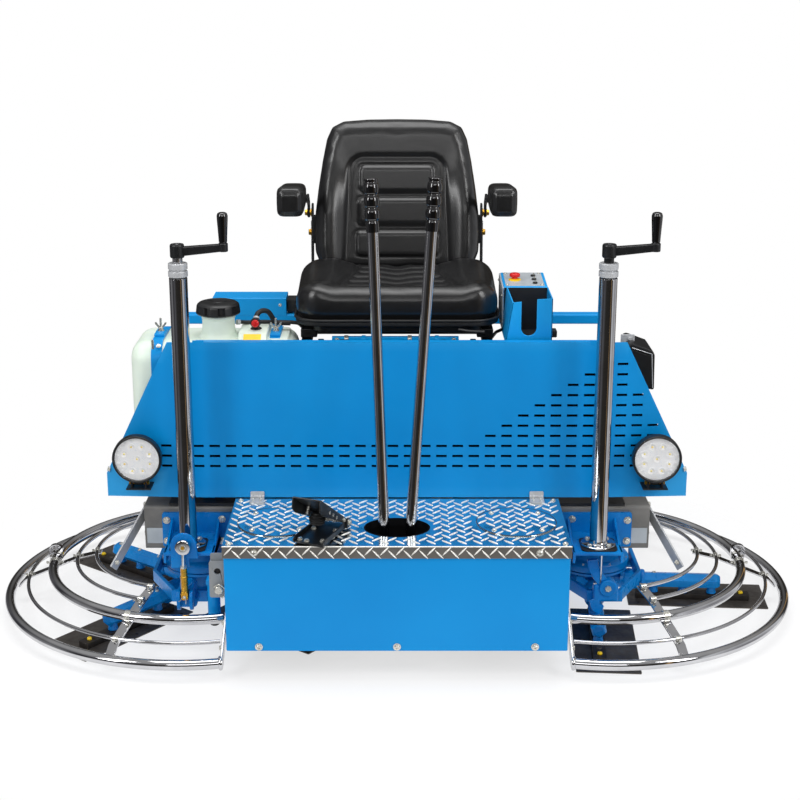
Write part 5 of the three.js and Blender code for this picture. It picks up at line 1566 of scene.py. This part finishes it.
def seat_cushion():
    piece = Piece()
    inset = 5
    middle_y = (SEAT_Y0 + SEAT_Y1) / 2 - 0.5
    half, y0, y1 = SEAT_HALF - inset, SEAT_Y0 + inset, SEAT_Y1 - inset
    piece.pad(-half, half, y0, y1, 66, SEAT_Z0 + 2, SEAT_Z1 - 14, "z", 30, 0, 6)
    obj = remeshed(piece, 5.5)
    inflate(obj, 6)

    def relief(p):
        x, y, z = p.T
        up = ramp_up(z, 776, 812)
        rear = ramp_up(y, -30, 180)
        wide = 112 + 34 * (1 - ramp_up(y, -80, 60))
        across = np.abs(x)
        bolster = (10 + 3 * rear) * ramp_up(across, wide, wide + 52) * (1 - 0.5 * ramp_up(across, 205, 250))
        roll = 10 * (1 - ramp_up(y, -70, 0))
        centre = rounded_distance(x, y - 108, 104 + 0.34 * (110 - y) * (y < 110), 122, 26)
        dish = -4.0 * ramp_up(-centre, 0, 14)
        lift = bolster + roll + 22 * rear + dish + groove(centre, 6.5, 4.4)
        for line in (0, 34, 68, 102, 136, 170):
            dip = y - line + 16 * np.exp(-((x / 30) ** 2))
            lift = lift + groove(dip, 4.6, 4.2) * ramp_up(-centre, 6, 18)
        lift = lift - 7 * np.exp(-((x / 20) ** 2)) * ramp_up(y, 110, 190)
        waist = groove(z - 764, 2.4, 4.0)
        away = np.hypot(x, y - middle_y)
        out = np.zeros_like(p)
        out[:, 2] = lift * up
        out[:, 0] = waist * x / away
        out[:, 1] = waist * (y - middle_y) / away
        return out

    stuffed(obj, "seat_cushion_skin", relief, "seat", [VINYL], ["seat_cushion"])
    piping = Piece()
    line = rounded(-SEAT_HALF + 3, SEAT_HALF - 3, SEAT_Y0 + 3, SEAT_Y1 - 3, 66, 10)
    ring = [(u, v, 757) for u, v in line]
    rings = []
    for k, here in enumerate(ring):
        ahead, behind = ring[(k + 1) % len(ring)], ring[k - 1]
        tangent = (Vector(ahead) - Vector(behind)).normalized()
        out = tangent.cross(Vector(UP))
        rings.append([Vector(here) + out * u + Vector((0, 0, v)) for u, v in circle(3.6, 12)])
    piping.loft(rings, 0, closed=True)
    piping.finish("seat_piping", "seat", "vinyl", [RUBBER])


def seat_pan():
    piece = Piece()
    piece.pad(-SEAT_HALF + 3, SEAT_HALF - 3, SEAT_Y0 + 4, SEAT_Y1 - 4, 66, 742, 755, "z", 4, 1, 3)
    piece.pad(-205, 205, -70, 200, 30, 722, 744, "z", 4, 0, 3)
    for side in (-1, 1):
        piece.block(side * 196, side * 236, -40, 222, 702.4, 723, 2, 2)
        tab = [(200, 722), (262, 722), (262, 740), (252, 748), (228, 748), (200, 744)]
        piece.prism(tab, side * 230 - 4, side * 230 + 4, "x", 2, 1)
        piece.bolt((side * 234.4, 240, 732), (side, 0, 0), 8, 3)
    piece.rod((-232, 240, 732), (232, 240, 732), 7, 3, 24)
    piece.hose([(150, -96, 736), (176, -108, 734), (210, -110, 733)], 6, 4, 0, 12)
    piece.skin("seat_pan", "seat", "black_paint", [BLACK_PAINT, RUBBER, BLACK_PLASTIC, ZINC])


SIDE_PLATE_X = 215
BACK_TILT = math.radians(9)
BACK_BASE = (276, 842)
BACK_SIDE = ((150, -40), (196, -26), (212, 14), (214, 62), (212, 112), (203, 182), (192, 250), (181, 304),
             (167, 334), (138, 349), (74, 354))
BACK_SHAPE = ((0, -42), *BACK_SIDE, (0, 355), *[(-u, v) for u, v in BACK_SIDE[::-1]])


def back_place(points):
    """From the backrest's own frame (across, front to back, up its face) to the machine's."""
    x, w, v = points.T
    y = BACK_BASE[0] + w * math.cos(BACK_TILT) + v * math.sin(BACK_TILT)
    z = BACK_BASE[1] - w * math.sin(BACK_TILT) + v * math.cos(BACK_TILT)
    return np.stack([x, y, z], axis=1)


def back_point(u, w, v):
    return tuple(back_place(np.array([[u, w, v]]))[0])


def backrest():
    front, back = -62, 6
    centre = Vector((0, 176))
    piece = Piece()
    rings = []
    rounding = ((26, front), (12, front + 4), (3, front + 13), (0, front + 28), (0, back - 20),
                (4, back - 8), (14, back))
    for shrink, w in rounding:
        ring = []
        for u, v in BACK_SHAPE:
            away = (Vector((u, v)) - centre).normalized()
            ring.append(back_point(u - away.x * shrink, w, v - away.y * shrink))
        rings.append(ring)
    piece.loft(rings)
    obj = remeshed(piece, 5.5)
    inflate(obj, 6)

    def relief(p):
        x = p[:, 0]
        y, z = p[:, 1] - BACK_BASE[0], p[:, 2] - BACK_BASE[1]
        w = y * math.cos(BACK_TILT) - z * math.sin(BACK_TILT)
        v = y * math.sin(BACK_TILT) + z * math.cos(BACK_TILT)
        face = 1 - ramp_up(w, front + 8, front + 34)
        flare = 118 + 14 * (1 - v / 270)
        arch = rounded_distance(x * 118 / flare, v - 90, 118, 168, 34)
        across = np.abs(x)
        edge = 1 - 0.55 * ramp_up(across, 182, 214)
        lift = 26 * ramp_up(across, 116, 176) * (1 - ramp_up(v, 110, 290)) * edge
        lift = lift + groove(arch, 6.5, 4.5) - 2.5 * ramp_up(-arch, 0, 8)
        for middle, half_v, half_u in ((202, 35, 98), (118, 36, 103), (36, 34, 108)):
            pad = rounded_distance(x, v - middle, half_u, half_v, 16)
            lift = lift + 5.5 * ramp_up(-pad, -1, 9) + groove(pad, 2.2, 3.0)
        seam = groove(w - (front + 40), 2.5, 3.5)
        out = np.array([0, -math.cos(BACK_TILT), math.sin(BACK_TILT)]) * (lift * face)[:, None]
        tuck = seam * ramp_up(across, 150, 200) - np.maximum(across - SIDE_PLATE_X, 0)
        out[:, 0] += np.sign(x) * tuck
        return out

    stuffed(obj, "backrest_skin", relief, "backrest", [VINYL], ["backrest"])
    fittings = Piece()
    rows = [(-186, 40), (186, 40), (160, 292), (-160, 292)]
    shell = [[back_point(u, w, v) for u, v in rows] for w in (4, 11)]
    fittings.loft(shell, 1, bevel=3)
    for side in (-1, 1):
        plate = [(228, 720), (250, 718), (262, 850), (280, 975), (272, 985), (256, 985), (250, 975),
                 (230, 850)]
        fittings.prism(plate, side * 219 - 2.5, side * 219 + 2.5, "x", 0, 1)
        strip = [(240, 800), (247, 800), (264, 940), (257, 940)]
        fittings.prism(strip, side * 222.6 - 1, side * 222.6 + 1, "x", 2, 0.4)
        fittings.block(side * 196, side * 220, 238, 262, 884, 956, 0, 2)
        for z, y in ((962, 258), (912, 252)):
            fittings.bolt((side * 221.6, y, z), (side, 0, 0), 8.5, 3)
    fittings.finish("backrest_fittings", "backrest", "black_paint",
                    [BLACK_PAINT, BLACK_PLASTIC, BRUSHED, YELLOW_ZINC])


ARMREST_Z = 1022

# The pad's sections: y, how far its sides are drawn in, its lowest and its highest z.
PAD_SECTIONS = ((25, 9, 993, 1053), (30, 4, 989, 1058), (44, 0, 987, 1060), (190, 2, 990, 1048),
                (222, 6, 996, 1040), (232, 16, 1004, 1030))


def armrest(name, side):
    x = side * 262
    piece = Piece()
    rings = []
    half = 33
    for y, shrink, low, high in PAD_SECTIONS:
        outline = rounded(x - half + shrink, x + half - shrink, low, high, 13, 5)
        rings.append([on_axis(p, y, "y") for p in outline])
    piece.loft(rings)
    obj = remeshed(piece, 4.5)
    inflate(obj, 3)

    def relief(p):
        u, y, z = p.T
        face = 1 - ramp_up(y, 26, 40)
        across, up = u - x, z - ARMREST_Z
        panel = rounded_distance(across, up, 24, 26, 9)
        out = np.zeros_like(p)
        out[:, 1] = -face * (3.0 * ramp_up(-panel, -3, 3) - 2.4 * np.exp(-((panel / 2.4) ** 2)))
        around = groove(y - 50, 2.0, 2.8)
        out[:, 0] = around * np.sign(across) * ramp_up(np.abs(across), 18, 33)
        out[:, 2] = around * np.sign(up) * ramp_up(np.abs(up), 18, 34)
        return out

    stuffed(obj, f"armrest_{name}_skin", relief, f"armrest_{name}", [VINYL], [f"armrest_{name}"])
    arm = Piece()
    link = [(204, 1000), (206, 1012), (226, 1016), (266, 990), (273, 964), (266, 951), (252, 950),
            (244, 962), (240, 982)]
    arm.prism(link, side * 228.5 - 3, side * 228.5 + 3, "x", 0, 1)
    arm.bolt((side * 231.6, 258, 962), (side, 0, 0), 8, 1)
    arm.block(side * 228, side * 238, 176, 226, 1000, 1014, 0, 1.5)
    arm.finish(f"armrest_{name}_link", f"armrest_{name}", "black_paint", [BLACK_PAINT, YELLOW_ZINC])


# ------------------------------------------------------------------ the machine
step_box()
deck()
pedal()
hood()
hood_shade_sheets()
tank()
tank_cradle()
fuel_hose()
upper_frame()
console()
engine()
seat_pan()
seat_cushion()
backrest()
for name, side in SIDES:
    access_cover(name, side)
    steering_lever(name)
    lamp(name, side)
    armrest(name, side)
